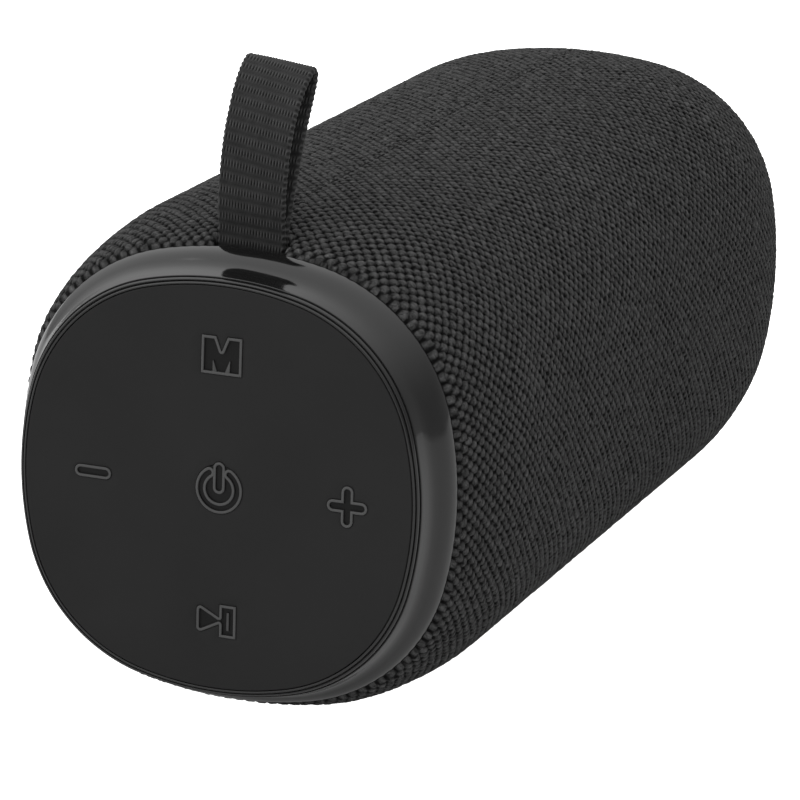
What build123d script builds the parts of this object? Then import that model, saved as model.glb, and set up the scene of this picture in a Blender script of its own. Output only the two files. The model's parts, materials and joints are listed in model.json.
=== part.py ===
from build123d import *
import math
import os

# Portable bluetooth speaker, lying on its side on its woven sleeve.
# Frame: millimetres, +Y along the barrel from the key end to the passive-radiator end,
# +Z up through the carry strap, origin on the table under the middle of the barrel.
# Everything is first built about the barrel's own axis (z = 0 on the axis) and lifted
# by AXIS_HEIGHT when it is written.

# ---------------------------------------------------------------- driving dimensions
HALF_WIDTH = 40.0          # barrel, axis to the middle of a side, over the fabric
HALF_LENGTH = 94.4         # barrel, middle to the key ridges at one end and the ring lip at the other
REST_FLAT = 0.25           # depth of the flat that the knit takes where it rests
AXIS_HEIGHT = HALF_WIDTH - REST_FLAT
RING_EDGE_Y = 85.2         # where an end ring meets the fabric
RING_EDGE_HALF = 36.0      # half-width of the barrel there
END_ROUND = 24.2           # length over which each end draws in
SLEEVE_T = 1.2             # knit sleeve
WALL_T = 2.2               # housing wall
SKIN_GAP = 0.05            # housing to sleeve

PANEL_HALF = 31.8          # control panel, half-width
PANEL_FACE_Y = -94.1
PANEL_T = 3.5
KEY_PITCH = 21.0           # power key to each of the other four
KEY_TRAVEL = 0.5
KEY_GAP = 0.12
KEY_RIDGE = 0.3            # height of the raised outline
KEY_RIDGE_W = 0.5

STRAP_X0, STRAP_X1 = -4.85, 6.10   # webbing, across
WEB_T = 1.2                        # one layer of webbing
STRAP_PIVOT_Y, STRAP_PIVOT_Z = -83.03, 38.6
STRAP_TOP = 63.2

DRIVER_Y = (-38.0, 26.0)
DRIVER_FRAME_R = 26.0
DRIVER_HOLE_R = 23.6
BAFFLE_X = 29.3
CONE_TRAVEL = 2.0

RADIATOR_R = 26.0
RADIATOR_TRAVEL = 2.0

PORT_Y = 8.0
PORT_HALF_Y, PORT_HALF_Z = 25.5, 7.5
FLAP_HALF_Y = 21.3
FLAP_Z0, FLAP_Z1 = -5.0, 4.85
FLAP_PIVOT_X, FLAP_PIVOT_Z = -39.85, -5.15

CELL_R, CELL_L = 9.2, 65.2
CELLS = ((-19.5, -22.0), (0.5, -24.5))

BOARD_TOP = -3.0
BOARD_T = 1.6

# Cross-sections are rounded squares made of eight tangent arcs: (diagonal reach, corner radius),
# both as shares of the half-width.
BARREL = (1.07598, 0.74)
FACE = (1.0512, 0.80)

parts = {}


# ---------------------------------------------------------------- helpers
def arcs(half, family, off=0.0):
    """Big-arc and corner-arc radii, the centres' offsets and the tangent point, for one quadrant."""
    q, k2 = family
    c = (q - k2) / math.sqrt(2)
    k1 = (k2 * k2 - c * c - (c - 1) ** 2) / (2 * (c - 1) + 2 * k2)
    big, small = k1 * half, k2 * half
    bz, cc = -(k1 - 1) * half, c * half
    ux, uz = cc, cc - bz
    n = math.hypot(ux, uz)
    ux, uz = ux / n, uz / n
    r1, r2 = big + off, small + off
    tan = (ux * r1, bz + uz * r1)
    mid = cc + r2 / math.sqrt(2)
    return bz, r1, tan, mid


def section(y, half, family=BARREL, off=0.0):
    """Closed wire of the rounded-square section in the plane at y."""
    bz, r1, (tx, tz), mid = arcs(half, family, off)
    top = bz + r1
    pts = []
    # eight arcs, each given by start, middle and end, going round from the +Z side towards +X
    pts.append(((-tx, tz), (0, top), (tx, tz)))
    pts.append(((tx, tz), (mid, mid), (tz, tx)))
    pts.append(((tz, tx), (top, 0), (tz, -tx)))
    pts.append(((tz, -tx), (mid, -mid), (tx, -tz)))
    pts.append(((tx, -tz), (0, -top), (-tx, -tz)))
    pts.append(((-tx, -tz), (-mid, -mid), (-tz, -tx)))
    pts.append(((-tz, -tx), (-top, 0), (-tz, tx)))
    pts.append(((-tz, tx), (-mid, mid), (-tx, tz)))
    edges = [
        Edge.make_three_point_arc(*[Vector(x, y, z) for x, z in p]) for p in pts
    ]
    return Wire(edges)


def barrel(stations, family=BARREL, off=0.0):
    """Solid through sections, straight between them: stations are (y, half-width[, off])."""
    wires = [
        section(s[0], s[1], family, s[2] if len(s) > 2 else off) for s in stations
    ]
    return Solid.make_loft(wires, ruled=True)


def prism(y0, y1, half, family=BARREL, off=0.0):
    return extrude(Face(section(y0, half, family, off)), amount=y1 - y0, dir=(0, 1, 0))


def cyl(x, y, z, axis, r, h):
    return Solid.make_cylinder(r, h, Plane(origin=(x, y, z), z_dir=axis))


def box(x0, x1, y0, y1, z0, z1):
    return Solid.make_box(x1 - x0, y1 - y0, z1 - z0, Plane(origin=(x0, y0, z0)))


def turned_x(points, y, z=0.0):
    """Solid turned about the X axis line through (y, z); points are (x, r)."""
    w = Wire.make_polygon([Vector(px, y + pr, z) for px, pr in points])
    return Solid.revolve(Face(w), 360, Axis((0, y, z), (1, 0, 0)))


def turned_y(points):
    """Solid turned about the barrel's axis; points are (y, r)."""
    w = Wire.make_polygon([Vector(pr, py, 0) for py, pr in points])
    return Solid.revolve(Face(w), 360, Axis((0, 0, 0), (0, 1, 0)))


def roll(base, r0, r1, rise, t, flange_in, flange_out):
    """Profile of a half-roll surround as (height, radius) points: flange, roll, flange."""
    n = 12
    mid, half = (r0 + r1) / 2, (r1 - r0) / 2
    low, high = [], []
    for i in range(n + 1):
        a = math.pi * i / n
        c, s = -math.cos(a), math.sin(a)
        low.append((base + (rise - t) * s, mid + (half - 0.0) * c))
        high.append((base + t + (rise - t) * s, mid + half * c))
    pts = [(base, flange_in)] + low + [(base, flange_out), (base + t, flange_out)]
    pts += high[::-1] + [(base + t, flange_in)]
    return pts


def plane_front(x, z, y):
    """Sketch plane facing the key end: sketch x is +X, sketch y is +Z, extrusion goes to -Y."""
    return Plane(origin=(x, y, z), x_dir=(1, 0, 0), z_dir=(0, -1, 0))


def add(name, *solids):
    shapes = []
    for s in solids:
        shapes += list(s.solids()) if hasattr(s, "solids") else [s]
    parts[name] = shapes


def screw(x, y, z, axis, head_r, head_h, shank_r, length):
    """Pan-head screw; (x, y, z) is the top of the head, axis points down the shank."""
    h = cyl(x, y, z, axis, head_r, head_h)
    s = cyl(x, y, z, axis, shank_r, head_h + length)
    length_, width_, depth_ = head_r * 1.1, head_r * 0.28, head_h * 0.5
    p = Plane(origin=(x, y, z), z_dir=axis)
    cross = []
    for a, b in ((length_, width_), (width_, length_)):
        corner = p.from_local_coords((-a / 2, -b / 2, 0))
        cross.append(Solid.make_box(a, b, depth_, Plane(origin=corner, x_dir=p.x_dir, z_dir=p.z_dir)))
    return (h + s) - cross[0] - cross[1]


# ---------------------------------------------------------------- barrel outline
ROUND_T = (0.0, 0.05, 0.12, 0.22, 0.36, 0.52, 0.70, 0.86, 1.0)


def half_at(t):
    g = (1 - (1 - t) ** 1.397) ** (1 / 1.748)
    return RING_EDGE_HALF + (HALF_WIDTH - RING_EDGE_HALF) * g


front_end = [(-RING_EDGE_Y + END_ROUND * t, half_at(t)) for t in ROUND_T]
rear_end = [(-y, a) for y, a in reversed(front_end)]
outline = front_end + rear_end


def part_outline(y0, y1):
    """Stations of the outline between y0 and y1, with both ends interpolated."""
    def at(y):
        for (ya, aa), (yb, ab) in zip(outline, outline[1:]):
            if ya <= y <= yb:
                return aa + (ab - aa) * (y - ya) / (yb - ya) if yb > ya else aa
        return outline[0][1]
    inner = [s for s in outline if y0 + 0.05 < s[0] < y1 - 0.05]
    return [(y0, at(y0))] + inner + [(y1, at(y1))]


# ---------------------------------------------------------------- sleeve
strap_slit = box(STRAP_X0 - 0.55, STRAP_X1 + 0.55, -86.0, -81.2, 28.0, 45.0)
port_hole = extrude(
    Plane(origin=(-30, PORT_Y, 0), x_dir=(0, 1, 0), z_dir=(-1, 0, 0))
    * RectangleRounded(2 * PORT_HALF_Y + 0.1, 2 * PORT_HALF_Z + 0.1, 3.05),
    amount=15,
)
sleeve = barrel(outline) - barrel(outline, off=-SLEEVE_T)
sleeve = sleeve - box(-60, 60, -100, 100, -60, -AXIS_HEIGHT) - strap_slit - port_hole
add("fabric_sleeve", sleeve)

# ---------------------------------------------------------------- end rings
LIP_IN = PANEL_HALF + 0.15
ring_outer = [
    (-94.05, 32.1), (-93.6, 32.65), (-93.0, 33.05), (-91.5, 33.45), (-89.9, 33.98), (-88.7, 34.75),
    (-87.4, 35.55), (-86.4, 35.9), (-85.7, 36.0), (-RING_EDGE_Y, 35.9),
]
rear_outer = [(-HALF_LENGTH, 32.4), (-93.9, 32.85)] + ring_outer[2:]


def end_ring(ledge0, ledge1, profile):
    """Ring: lip, coved band, seat for the panel or baffle, ledge, and the flange under the knit."""
    band = barrel(profile)
    fl = part_outline(-RING_EDGE_Y, -78.6)
    flange = barrel([(y, a) for y, a in fl], off=-SLEEVE_T - SKIN_GAP)
    body = band + flange
    body = body - prism(-HALF_LENGTH - 0.5, ledge0, LIP_IN, FACE)
    body = body - prism(ledge0 - 0.01, ledge1 + 0.01, 29.5, FACE)
    body = body - prism(ledge1, -78.0, RING_EDGE_HALF, BARREL, -3.3)
    for sx in (-1, 1):
        for sz in (-1, 1):
            boss = cyl(sx * 22.3, ledge1 - 0.3, sz * 22.3, (0, 1, 0), 4.2, -78.6 - ledge1 + 0.3)
            boss = boss & prism(ledge1 - 0.3, -78.6, RING_EDGE_HALF, BARREL, -2.4)
            body = body + boss
            body = body - cyl(sx * 22.3, ledge0 - 0.1, sz * 22.3, (0, 1, 0), 1.03, 20)
            body = body - cyl(sx * 22.3, ledge0 - 0.1, sz * 22.3, (0, 1, 0), 2.3, ledge1 - ledge0 + 0.1 - 0.0)
    return body


front_ring = end_ring(-87.4, -85.6, ring_outer)
# strap slot in the flange and the screw block under it
front_ring = front_ring - box(STRAP_X0 - 0.45, STRAP_X1 + 0.45, -84.55, -81.4, 30.0, 45.0)
strap_block = box(STRAP_X0, STRAP_X1, -85.7, -84.3, 28.2, 33.6) & prism(-86, -84, RING_EDGE_HALF, BARREL, -3.0)
front_ring = front_ring + strap_block
STRAP_CX = (STRAP_X0 + STRAP_X1) / 2
front_ring = front_ring - cyl(STRAP_CX, -86.9, 30.3, (0, 1, 0), 1.03, 6)
add("front_trim_ring", front_ring)

rear_ring = mirror(end_ring(-86.6, -84.8, rear_outer), about=Plane.XZ)
add("rear_trim_ring", rear_ring)


# ---------------------------------------------------------------- key glyphs (outer outlines)
def glyph_minus(grow=0.0):
    return SlotOverall(6.2 + 2 * grow, 2.0 + 2 * grow)


def glyph_plus(grow=0.0):
    return SlotOverall(6.6 + 2 * grow, 2.0 + 2 * grow) + Rot(0, 0, 90) * SlotOverall(6.6 + 2 * grow, 2.0 + 2 * grow)


def glyph_power(grow=0.0):
    bar = Pos(0, 1.8) * Rot(0, 0, 90) * SlotOverall(5.1 + 2 * grow, 2.0 + 2 * grow)
    return Circle(3.87 + grow) + bar


def glyph_mode(grow=0.0):
    w, h, g = 6.7 / 2, 6.0 / 2, grow
    flank, notch = 0.92 - 0.685 * g, 0.67 + 2.77 * g
    return make_face(
        Polyline(
            (-w - g, -h - g), (-w - g, h + g), (-flank, h + g), (0, notch),
            (flank, h + g), (w + g, h + g), (w + g, -h - g), (-w - g, -h - g),
        )
    )


# the two narrow raised wedges inside the mode mark
MODE_WEDGES = (
    ((-1.42, -0.65), (-1.42, -2.6), (-0.72, -2.6)),
    ((1.42, -0.5), (0.6, -2.6), (1.38, -2.6)),
)


def glyph_play(grow=0.0):
    g = grow
    tri = make_face(Polyline((-3.3 - g, -2.55 - g), (-3.3 - g, 2.55 + g), (0.9 + g, 0.35 + g), (0.9 + g, -0.35 - g), (-3.3 - g, -2.55 - g)))
    tri = fillet(tri.vertices().group_by(Axis.X)[0], 0.7)
    bar = Pos(1.9, 0) * Rectangle(2.8 + 2 * g, 5.3 + 2 * g)
    return tri + bar


KEY_X, KEY_Z = 0.62, 0.20   # the key pattern sits a little towards the drivers on the panel
KEYS = {
    "power": (KEY_X, KEY_Z, glyph_power),
    "mode": (KEY_X - 0.1, KEY_Z + KEY_PITCH, glyph_mode),
    "minus": (KEY_X - KEY_PITCH, KEY_Z, glyph_minus),
    "plus": (KEY_X + KEY_PITCH - 0.1, KEY_Z, glyph_plus),
    "play": (KEY_X, KEY_Z - KEY_PITCH, glyph_play),
}
STEM_END_Y = -86.9
panel = prism(PANEL_FACE_Y, PANEL_FACE_Y + PANEL_T, PANEL_HALF, FACE)
panel = chamfer(panel.edges().group_by(Axis.Y)[0], 0.35)
panel_back = PANEL_FACE_Y + PANEL_T
CARRIER_Y0, CARRIER_Y1 = panel_back, -87.45
carrier = prism(CARRIER_Y0, CARRIER_Y1, PANEL_HALF - 0.05, FACE)
board_outline = cyl(0, -85.0, 0, (0, 1, 0), 26.8, 1.2)
switch_bases = []
for key, (kx, kz, glyph) in KEYS.items():
    front = plane_front(kx, kz, panel_back + 0.2)
    panel = panel - extrude(front * glyph(KEY_GAP), amount=PANEL_T + 1)
    # key: plug through the panel, raised outline, flange behind the panel, stem to its switch
    plug_plane = plane_front(kx, kz, panel_back + 0.15)
    plug = extrude(plug_plane * glyph(), amount=PANEL_T + 0.15)
    rim = offset(glyph(), amount=-KEY_RIDGE_W)
    ridge = extrude(plane_front(kx, kz, PANEL_FACE_Y) * (glyph() - rim), amount=KEY_RIDGE)
    flange = cyl(kx, panel_back + 0.1, kz, (0, 1, 0), 5.3, 0.8)
    stem = cyl(kx, panel_back + 0.85, kz, (0, 1, 0), 1.6, STEM_END_Y - panel_back - 0.85)
    solid = plug + ridge + flange + stem
    if key == "mode":
        for a, b, c in MODE_WEDGES:
            wedge = make_face(Polyline(a, b, c, a))
            solid = solid + extrude(plane_front(kx, kz, PANEL_FACE_Y) * wedge, amount=KEY_RIDGE)
    add("key_" + key, solid)
    carrier = carrier - cyl(kx, CARRIER_Y0 - 0.1, kz, (0, 1, 0), 5.9, 1.7)
    carrier = carrier - cyl(kx, CARRIER_Y0 - 0.1, kz, (0, 1, 0), 1.9, 6)
    # tact switch: base with a bore, and its plunger, which travels with the key
    base = box(kx - 2.3, kx + 2.3, -86.3, -85.02, kz - 2.3, kz + 2.3)
    base = base - cyl(kx, -87, kz, (0, 1, 0), 1.1, 3)
    switch_bases.append(base)
    add("switch_plunger_" + key, cyl(kx, STEM_END_Y, kz, (0, 1, 0), 1.0, 1.25))
add("control_panel", panel)
# four pillars hold the key board behind the carrier
key_board = board_outline - box(-60, 60, -90, -80, 25.5, 40)
for px, pz in ((14, 14), (-14, 14), (14, -14), (-14, -14)):
    carrier = carrier + cyl(px, CARRIER_Y1 - 0.01, pz, (0, 1, 0), 2.6, -85.02 - CARRIER_Y1)
    carrier = carrier - cyl(px, -88.4, pz, (0, 1, 0), 0.83, 6)
    key_board = key_board - cyl(px, -86, pz, (0, 1, 0), 1.1, 4)
add("panel_carrier", carrier)
add("key_board", key_board)
add("switch_bases", *switch_bases)
board_screws = [screw(px, -82.55, pz, (0, -1, 0), 1.7, 1.2, 0.8, 4.2)
                for px, pz in ((14, 14), (-14, 14), (14, -14), (-14, -14))]

# ---------------------------------------------------------------- housing
hs = part_outline(-77.9, 77.9)
outer = barrel(hs, off=-SLEEVE_T - SKIN_GAP)
inner = barrel([(y - (0.2 if y < -77 else 0) + (0.2 if y > 77 else 0), a) for y, a in hs], off=-SLEEVE_T - SKIN_GAP - WALL_T)
shell = outer - inner
front_half = shell & box(0, 60, -100, 100, -60, 60)
back_half = shell & box(-60, 0, -100, 100, -60, 60)

for dy in DRIVER_Y:
    pad = cyl(BAFFLE_X, dy, 0, (1, 0, 0), 28.5, 12) & outer
    front_half = front_half + pad
    for ay in (-1, 1):
        for az in (-1, 1):
            ear = cyl(BAFFLE_X, dy + ay * 19.8, az * 19.8, (1, 0, 0), 3.4, 12) & outer
            front_half = front_half + ear
for dy in DRIVER_Y:
    front_half = front_half - cyl(20, dy, 0, (1, 0, 0), DRIVER_HOLE_R, 30)
    for ay in (-1, 1):
        for az in (-1, 1):
            front_half = front_half - cyl(BAFFLE_X - 0.1, dy + ay * 19.8, az * 19.8, (1, 0, 0), 1.03, 4.2)

# joining bosses along the parting plane
JOIN = ((-60.0, 32.5), (-6.0, 32.5), (60.0, 32.5), (-60.0, -32.5), (60.0, -32.5))
for jy, jz in JOIN:
    front_half = front_half + (cyl(0, jy, jz, (1, 0, 0), 4.2, 9) & outer)
    front_half = front_half - cyl(-0.1, jy, jz, (1, 0, 0), 1.03, 7.6)
    back_half = back_half + (cyl(0, jy, jz, (-1, 0, 0), 4.2, 45) & outer)
    back_half = back_half - cyl(0.1, jy, jz, (-1, 0, 0), 1.2, 20) - cyl(-4.0, jy, jz, (-1, 0, 0), 2.4, 45)
add("housing_screws", *[screw(-5.6, jy, jz, (1, 0, 0), 2.0, 1.6, 1.0, 10.6) for jy, jz in JOIN])

# bosses that take the end-ring screws, one per corner at each end
for sy in (-1, 1):
    for sx in (-1, 1):
        for sz in (-1, 1):
            y0 = -77.9 if sy < 0 else 66.0
            boss = (cyl(sx * 22.3, y0, sz * 22.3, (0, 1, 0), 4.6, 11.9)
                    + cyl(sx * 25.6, y0, sz * 25.6, (0, 1, 0), 3.6, 11.9)) & outer
            hole = cyl(sx * 22.3, y0 - 1, sz * 22.3, (0, 1, 0), 1.03, 14)
            if sx > 0:
                front_half = front_half + boss - hole
            else:
                back_half = back_half + boss - hole

# port window, bezel pocket and board rails in the back half
pocket = extrude(
    Plane(origin=(-30, PORT_Y, 0), x_dir=(0, 1, 0), z_dir=(-1, 0, 0))
    * RectangleRounded(2 * PORT_HALF_Y + 0.1, 2 * PORT_HALF_Z + 0.1, 3.05), amount=15)
deep = barrel(hs, off=-2.65)
back_half = back_half - (pocket - deep)
back_half = back_half - box(-45, -30, PORT_Y - 22.5, PORT_Y + 22.5, -5.2, 5.2)
for ry in (-15.5, 30.5):
    rail = box(-40, -23, ry - 2, ry + 2, -9.0, BOARD_TOP - BOARD_T - 0.02) & deep
    back_half = back_half + rail
    back_half = back_half - cyl(-27, ry, BOARD_TOP - BOARD_T + 0.1, (0, 0, -1), 0.83, 4)
add("housing_front", front_half)
add("housing_back", back_half)

# seals between the housing and the end rings
seal = barrel([(-78.58, 37.55), (-77.92, 37.75)], off=-1.7) - barrel([(-78.7, 37.55), (-77.8, 37.75)], off=-3.0)
foam_seals = [seal, mirror(seal, about=Plane.XZ)]

# ---------------------------------------------------------------- grilles over the drivers
grilles = []
for dy in DRIVER_Y:
    g = (cyl(20, dy, 0, (1, 0, 0), DRIVER_HOLE_R - 0.1, 30) & outer) - barrel(hs, off=-2.45)
    for i in range(-4, 5):
        zz = i * 4.8
        reach = math.sqrt(max((DRIVER_HOLE_R - 2.2) ** 2 - zz ** 2, 0))
        if reach < 4:
            continue
        s = Plane(origin=(25, dy, zz), x_dir=(0, 1, 0), z_dir=(1, 0, 0)) * SlotOverall(2 * reach, 2.6)
        g = g - extrude(s, amount=20)
    grilles.append(g)
add("driver_grilles", *grilles)


# ---------------------------------------------------------------- full-range drivers
def driver(name, y):
    f = BAFFLE_X - 0.7            # front face of the frame
    frame = turned_x([(f - 1.5, 22.0), (f - 1.5, DRIVER_FRAME_R), (f, DRIVER_FRAME_R), (f, 22.0)], y)
    basket = turned_x([(f - 1.6, 25.0), (15.6, 17.5), (15.6, 11.0), (16.6, 11.0), (16.6, 16.4), (f - 0.9, 23.4), (f - 0.9, 25.0)], y)
    for k in range(4):
        w = box(17.6, f - 3.2, y - 5.5, y + 5.5, 8.0, 30.0)
        basket = basket - w.rotate(Axis((0, y, 0), (1, 0, 0)), 90 * k)
    frame = frame + basket
    for ay in (-1, 1):
        for az in (-1, 1):
            frame = frame + cyl(f - 1.5, y + ay * 19.8, az * 19.8, (1, 0, 0), 3.2, 1.5)
            frame = frame - cyl(f - 3, y + ay * 19.8, az * 19.8, (1, 0, 0), 1.15, 6)
    frame = frame - cyl(f - 2.2, y, 0, (1, 0, 0), 22.0, 5)
    add(name + "_driver_frame", frame)
    plate = turned_x([(13.55, 9.4), (13.55, 15.5), (15.55, 15.5), (15.55, 9.4)], y)
    magnet = turned_x([(7.55, 9.6), (7.55, 16.0), (13.5, 16.0), (13.5, 9.6)], y)
    yoke = turned_x([(5.0, 0), (5.0, 14.6), (5.6, 15.5), (7.5, 15.5), (7.5, 8.0), (15.4, 8.0), (15.4, 0)], y)
    add(name + "_driver_magnet", magnet)
    add(name + "_driver_pole_plates", plate, yoke)
    cone = turned_x([(f - 0.02, 21.0), (f - 0.6, 21.0), (21.0, 9.3), (19.6, 8.9), (12.6, 8.9), (12.6, 8.5), (20.6, 8.5),
                     (22.9, 6.4), (24.0, 3.2), (24.3, 0), (24.8, 0), (24.5, 3.4), (23.3, 6.8), (21.5, 8.9), (f - 0.02, 20.2)], y)
    add(name + "_driver_cone", cone)
    sur = turned_x(roll(f + 0.02, 20.9, 22.6, 2.0, 0.45, 19.6, 23.4), y)
    return sur


surrounds = []
for nm, yy in zip(("left", "right"), DRIVER_Y):
    s = driver(nm, yy)
    add(nm + "_driver_surround", s)
    spider = turned_x([(18.0, 9.0), (18.0, 16.4), (18.4, 16.4), (18.4, 9.0)], yy)
    add(nm + "_driver_spider", spider)
foam_seals += [turned_x([(BAFFLE_X - 0.65, 23.7), (BAFFLE_X - 0.65, 25.9), (BAFFLE_X - 0.05, 25.9), (BAFFLE_X - 0.05, 23.7)], dy) for dy in DRIVER_Y]
add("foam_seals", *foam_seals)
add("driver_screws", *[screw(BAFFLE_X - 2.2 - 1.3, dy + ay * 19.8, az * 19.8, (1, 0, 0), 2.0, 1.3, 1.0, 5.4)
                       for dy in DRIVER_Y for ay in (-1, 1) for az in (-1, 1)])

# ---------------------------------------------------------------- passive radiator at the rear end
rear_baffle = prism(86.65, 88.4, PANEL_HALF, FACE) - cyl(0, 80, 0, (0, 1, 0), RADIATOR_R - 0.6, 20)
add("rear_baffle", rear_baffle)
add("radiator_surround", turned_y(roll(88.45, 20.2, 26.0, 3.0, 0.6, 18.2, 28.6)))
add("radiator_diaphragm", turned_y([(87.0, 0), (87.0, 19.4), (88.4, 19.9), (88.4, 0)]))
add("radiator_cap", turned_y([(88.45, 0), (88.45, 17.9), (89.7, 17.9), (90.2, 17.2), (90.2, 14.0), (89.9, 13.6), (89.9, 0)]))
add("radiator_weight", turned_y([(83.0, 0), (83.0, 8.4), (83.6, 9.0), (86.95, 9.0), (86.95, 0)]))

# ---------------------------------------------------------------- end-ring screws
ring_screws = []
for sx in (-1, 1):
    for sz in (-1, 1):
        ring_screws.append(screw(sx * 22.3, -87.2, sz * 22.3, (0, 1, 0), 2.0, 1.55, 1.0, 15.5))
        ring_screws.append(screw(sx * 22.3, 86.4, sz * 22.3, (0, -1, 0), 2.0, 1.55, 1.0, 15.0))
add("end_ring_screws", *ring_screws)

# ---------------------------------------------------------------- boards and sockets
main_board = box(-35.0, -6.0, -18.0, 33.0, BOARD_TOP - BOARD_T, BOARD_TOP)
for ry in (-15.5, 30.5):
    main_board = main_board - cyl(-27, ry, 0, (0, 0, -1), 1.15, 10)
add("main_board", main_board)
board_screws += [screw(-27, ry, BOARD_TOP + 1.25, (0, 0, -1), 1.7, 1.2, 0.8, 5.2) for ry in (-15.5, 30.5)]
add("board_screws", *board_screws)
USB_Y, AUX_Y, CARD_Y = -7.0, 6.0, 20.0
b0 = BOARD_TOP + 0.02
usb = extrude(Plane(origin=(-30.0, USB_Y, b0 + 1.65), x_dir=(0, 1, 0), z_dir=(-1, 0, 0)) * RectangleRounded(9.0, 3.26, 1.4), amount=7.3)
usb = usb - extrude(Plane(origin=(-31.2, USB_Y, b0 + 1.65), x_dir=(0, 1, 0), z_dir=(-1, 0, 0)) * RectangleRounded(8.4, 2.66, 1.2), amount=8)
usb = usb + box(-36.2, -31.0, USB_Y - 3.35, USB_Y + 3.35, b0 + 1.3, b0 + 2.0)
add("usb_c_socket", usb)
AUX_Z = b0 + 2.6
aux = box(-36.2, -23.6, AUX_Y - 3.1, AUX_Y + 3.1, b0, b0 + 5.2) + cyl(-36.1, AUX_Y, AUX_Z, (-1, 0, 0), 2.6, 1.2)
aux = aux - cyl(-40, AUX_Y, AUX_Z, (1, 0, 0), 1.8, 15.2)
add("aux_jack", aux)
card = box(-37.0, -22.5, CARD_Y - 7.0, CARD_Y + 7.0, b0, b0 + 1.9) - box(-40, -23.1, CARD_Y - 5.6, CARD_Y + 5.6, b0 + 0.5, b0 + 1.4)
add("card_slot", card)
add("bluetooth_module", box(-20, -8, 14, 31, b0, b0 + 0.8) + box(-19, -11, 15, 25, b0 + 0.7, b0 + 2.2))
add("board_components",
    box(-18, -12, -2, 4, b0, b0 + 1.2),
    cyl(-10, -8, b0, (0, 0, 1), 3.15, 7.0), cyl(-18, -9, b0, (0, 0, 1), 3.15, 7.0),
    box(-12.5, -7.5, 5.5, 10.5, b0, b0 + 3.0),
    box(-33.4, -31.6, 31.2, 32.6, b0, b0 + 0.8))
add("microphone", cyl(-35.2, PORT_Y - 23.6, 0, (-1, 0, 0), 1.3, 1.0))

# bezel round the sockets and its rubber flap
envelope = barrel(outline)
level = barrel(outline, off=-2.6)
floor_ = barrel(outline, off=-1.7)
frame_prism = extrude(
    Plane(origin=(-30, PORT_Y, 0), x_dir=(0, 1, 0), z_dir=(-1, 0, 0))
    * RectangleRounded(2 * PORT_HALF_Y, 2 * PORT_HALF_Z, 3.0), amount=15)
bezel = (frame_prism & envelope) - level
flap_pocket = extrude(
    Plane(origin=(-30, PORT_Y, (5.1 - 5.15) / 2), x_dir=(0, 1, 0), z_dir=(-1, 0, 0))
    * RectangleRounded(2 * FLAP_HALF_Y + 0.5, 10.25, 1.6), amount=15)
bezel = bezel - (flap_pocket - floor_)
bezel = bezel - extrude(Plane(origin=(-30, USB_Y, b0 + 1.65), x_dir=(0, 1, 0), z_dir=(-1, 0, 0)) * RectangleRounded(9.6, 3.9, 1.6), amount=15)
bezel = bezel - cyl(-30, AUX_Y, AUX_Z, (-1, 0, 0), 3.0, 15)
bezel = bezel - box(-45, -30, CARD_Y - 6.3, CARD_Y + 6.3, b0 + 0.1, b0 + 1.8)
bezel = bezel - cyl(-30, PORT_Y + 23.6, 0, (-1, 0, 0), 0.6, 15) - cyl(-30, PORT_Y - 23.6, 0, (-1, 0, 0), 0.5, 15)
add("port_bezel", bezel)
flap_prism = extrude(
    Plane(origin=(-30, PORT_Y, (FLAP_Z0 + FLAP_Z1) / 2), x_dir=(0, 1, 0), z_dir=(-1, 0, 0))
    * RectangleRounded(2 * FLAP_HALF_Y, FLAP_Z1 - FLAP_Z0, 1.4), amount=15)
flap = (flap_prism & barrel(outline, off=-0.02)) - barrel(outline, off=-1.55)
add("port_flap", flap)

# ---------------------------------------------------------------- battery
cells = []
for cx, cz in CELLS:
    can = cyl(cx, -CELL_L / 2, cz, (0, 1, 0), CELL_R, CELL_L)
    tip = cyl(cx, CELL_L / 2, cz, (0, 1, 0), 2.6, 1.0)
    cells.append(can + tip)
add("battery_cells", *cells)
cradle = box(-31.5, 11.5, -27, 27, -36.5, -24.0) & barrel(part_outline(-50, 50), off=-3.55)
for cx, cz in CELLS:
    cradle = cradle - cyl(cx, -40, cz, (0, 1, 0), CELL_R + 0.05, 80)
add("battery_cradle", cradle.solids().sort_by(SortBy.VOLUME)[-1])


# ---------------------------------------------------------------- inner wiring
def wire(points, radii, r):
    path = FilletPolyline(*points, radius=radii)
    start = path @ 0
    tangent = path % 0
    prof = Plane(origin=start, z_dir=tangent) * Circle(r)
    return sweep(prof, path=path)


add("battery_lead", wire([(-9, -33.0, -22.5), (-9, -39.5, -20.5), (-9, -39.0, -8.0), (-9, -30.0, -0.6), (-9, -16.5, -1.6)], [2.6, 3.2, 3.2], 0.9))
add("speaker_leads",
    wire([(19.5, -17.6, 5.0), (11.0, -16.0, 4.5), (1.0, -13.5, 1.0), (-6.5, -12.0, -1.5)], [4, 4], 0.8),
    wire([(19.5, 5.8, 5.0), (11.0, 4.0, 4.5), (1.0, 2.0, 1.0), (-6.8, 1.5, -1.6)], [4, 4], 0.8))
ribbon = box(-22, -14, -83.75, -83.45, BOARD_TOP + 0.05, 8.0) + box(-22, -14, -83.75, -13.0, BOARD_TOP + 0.05, BOARD_TOP + 0.35)
add("key_ribbon", ribbon)

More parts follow.
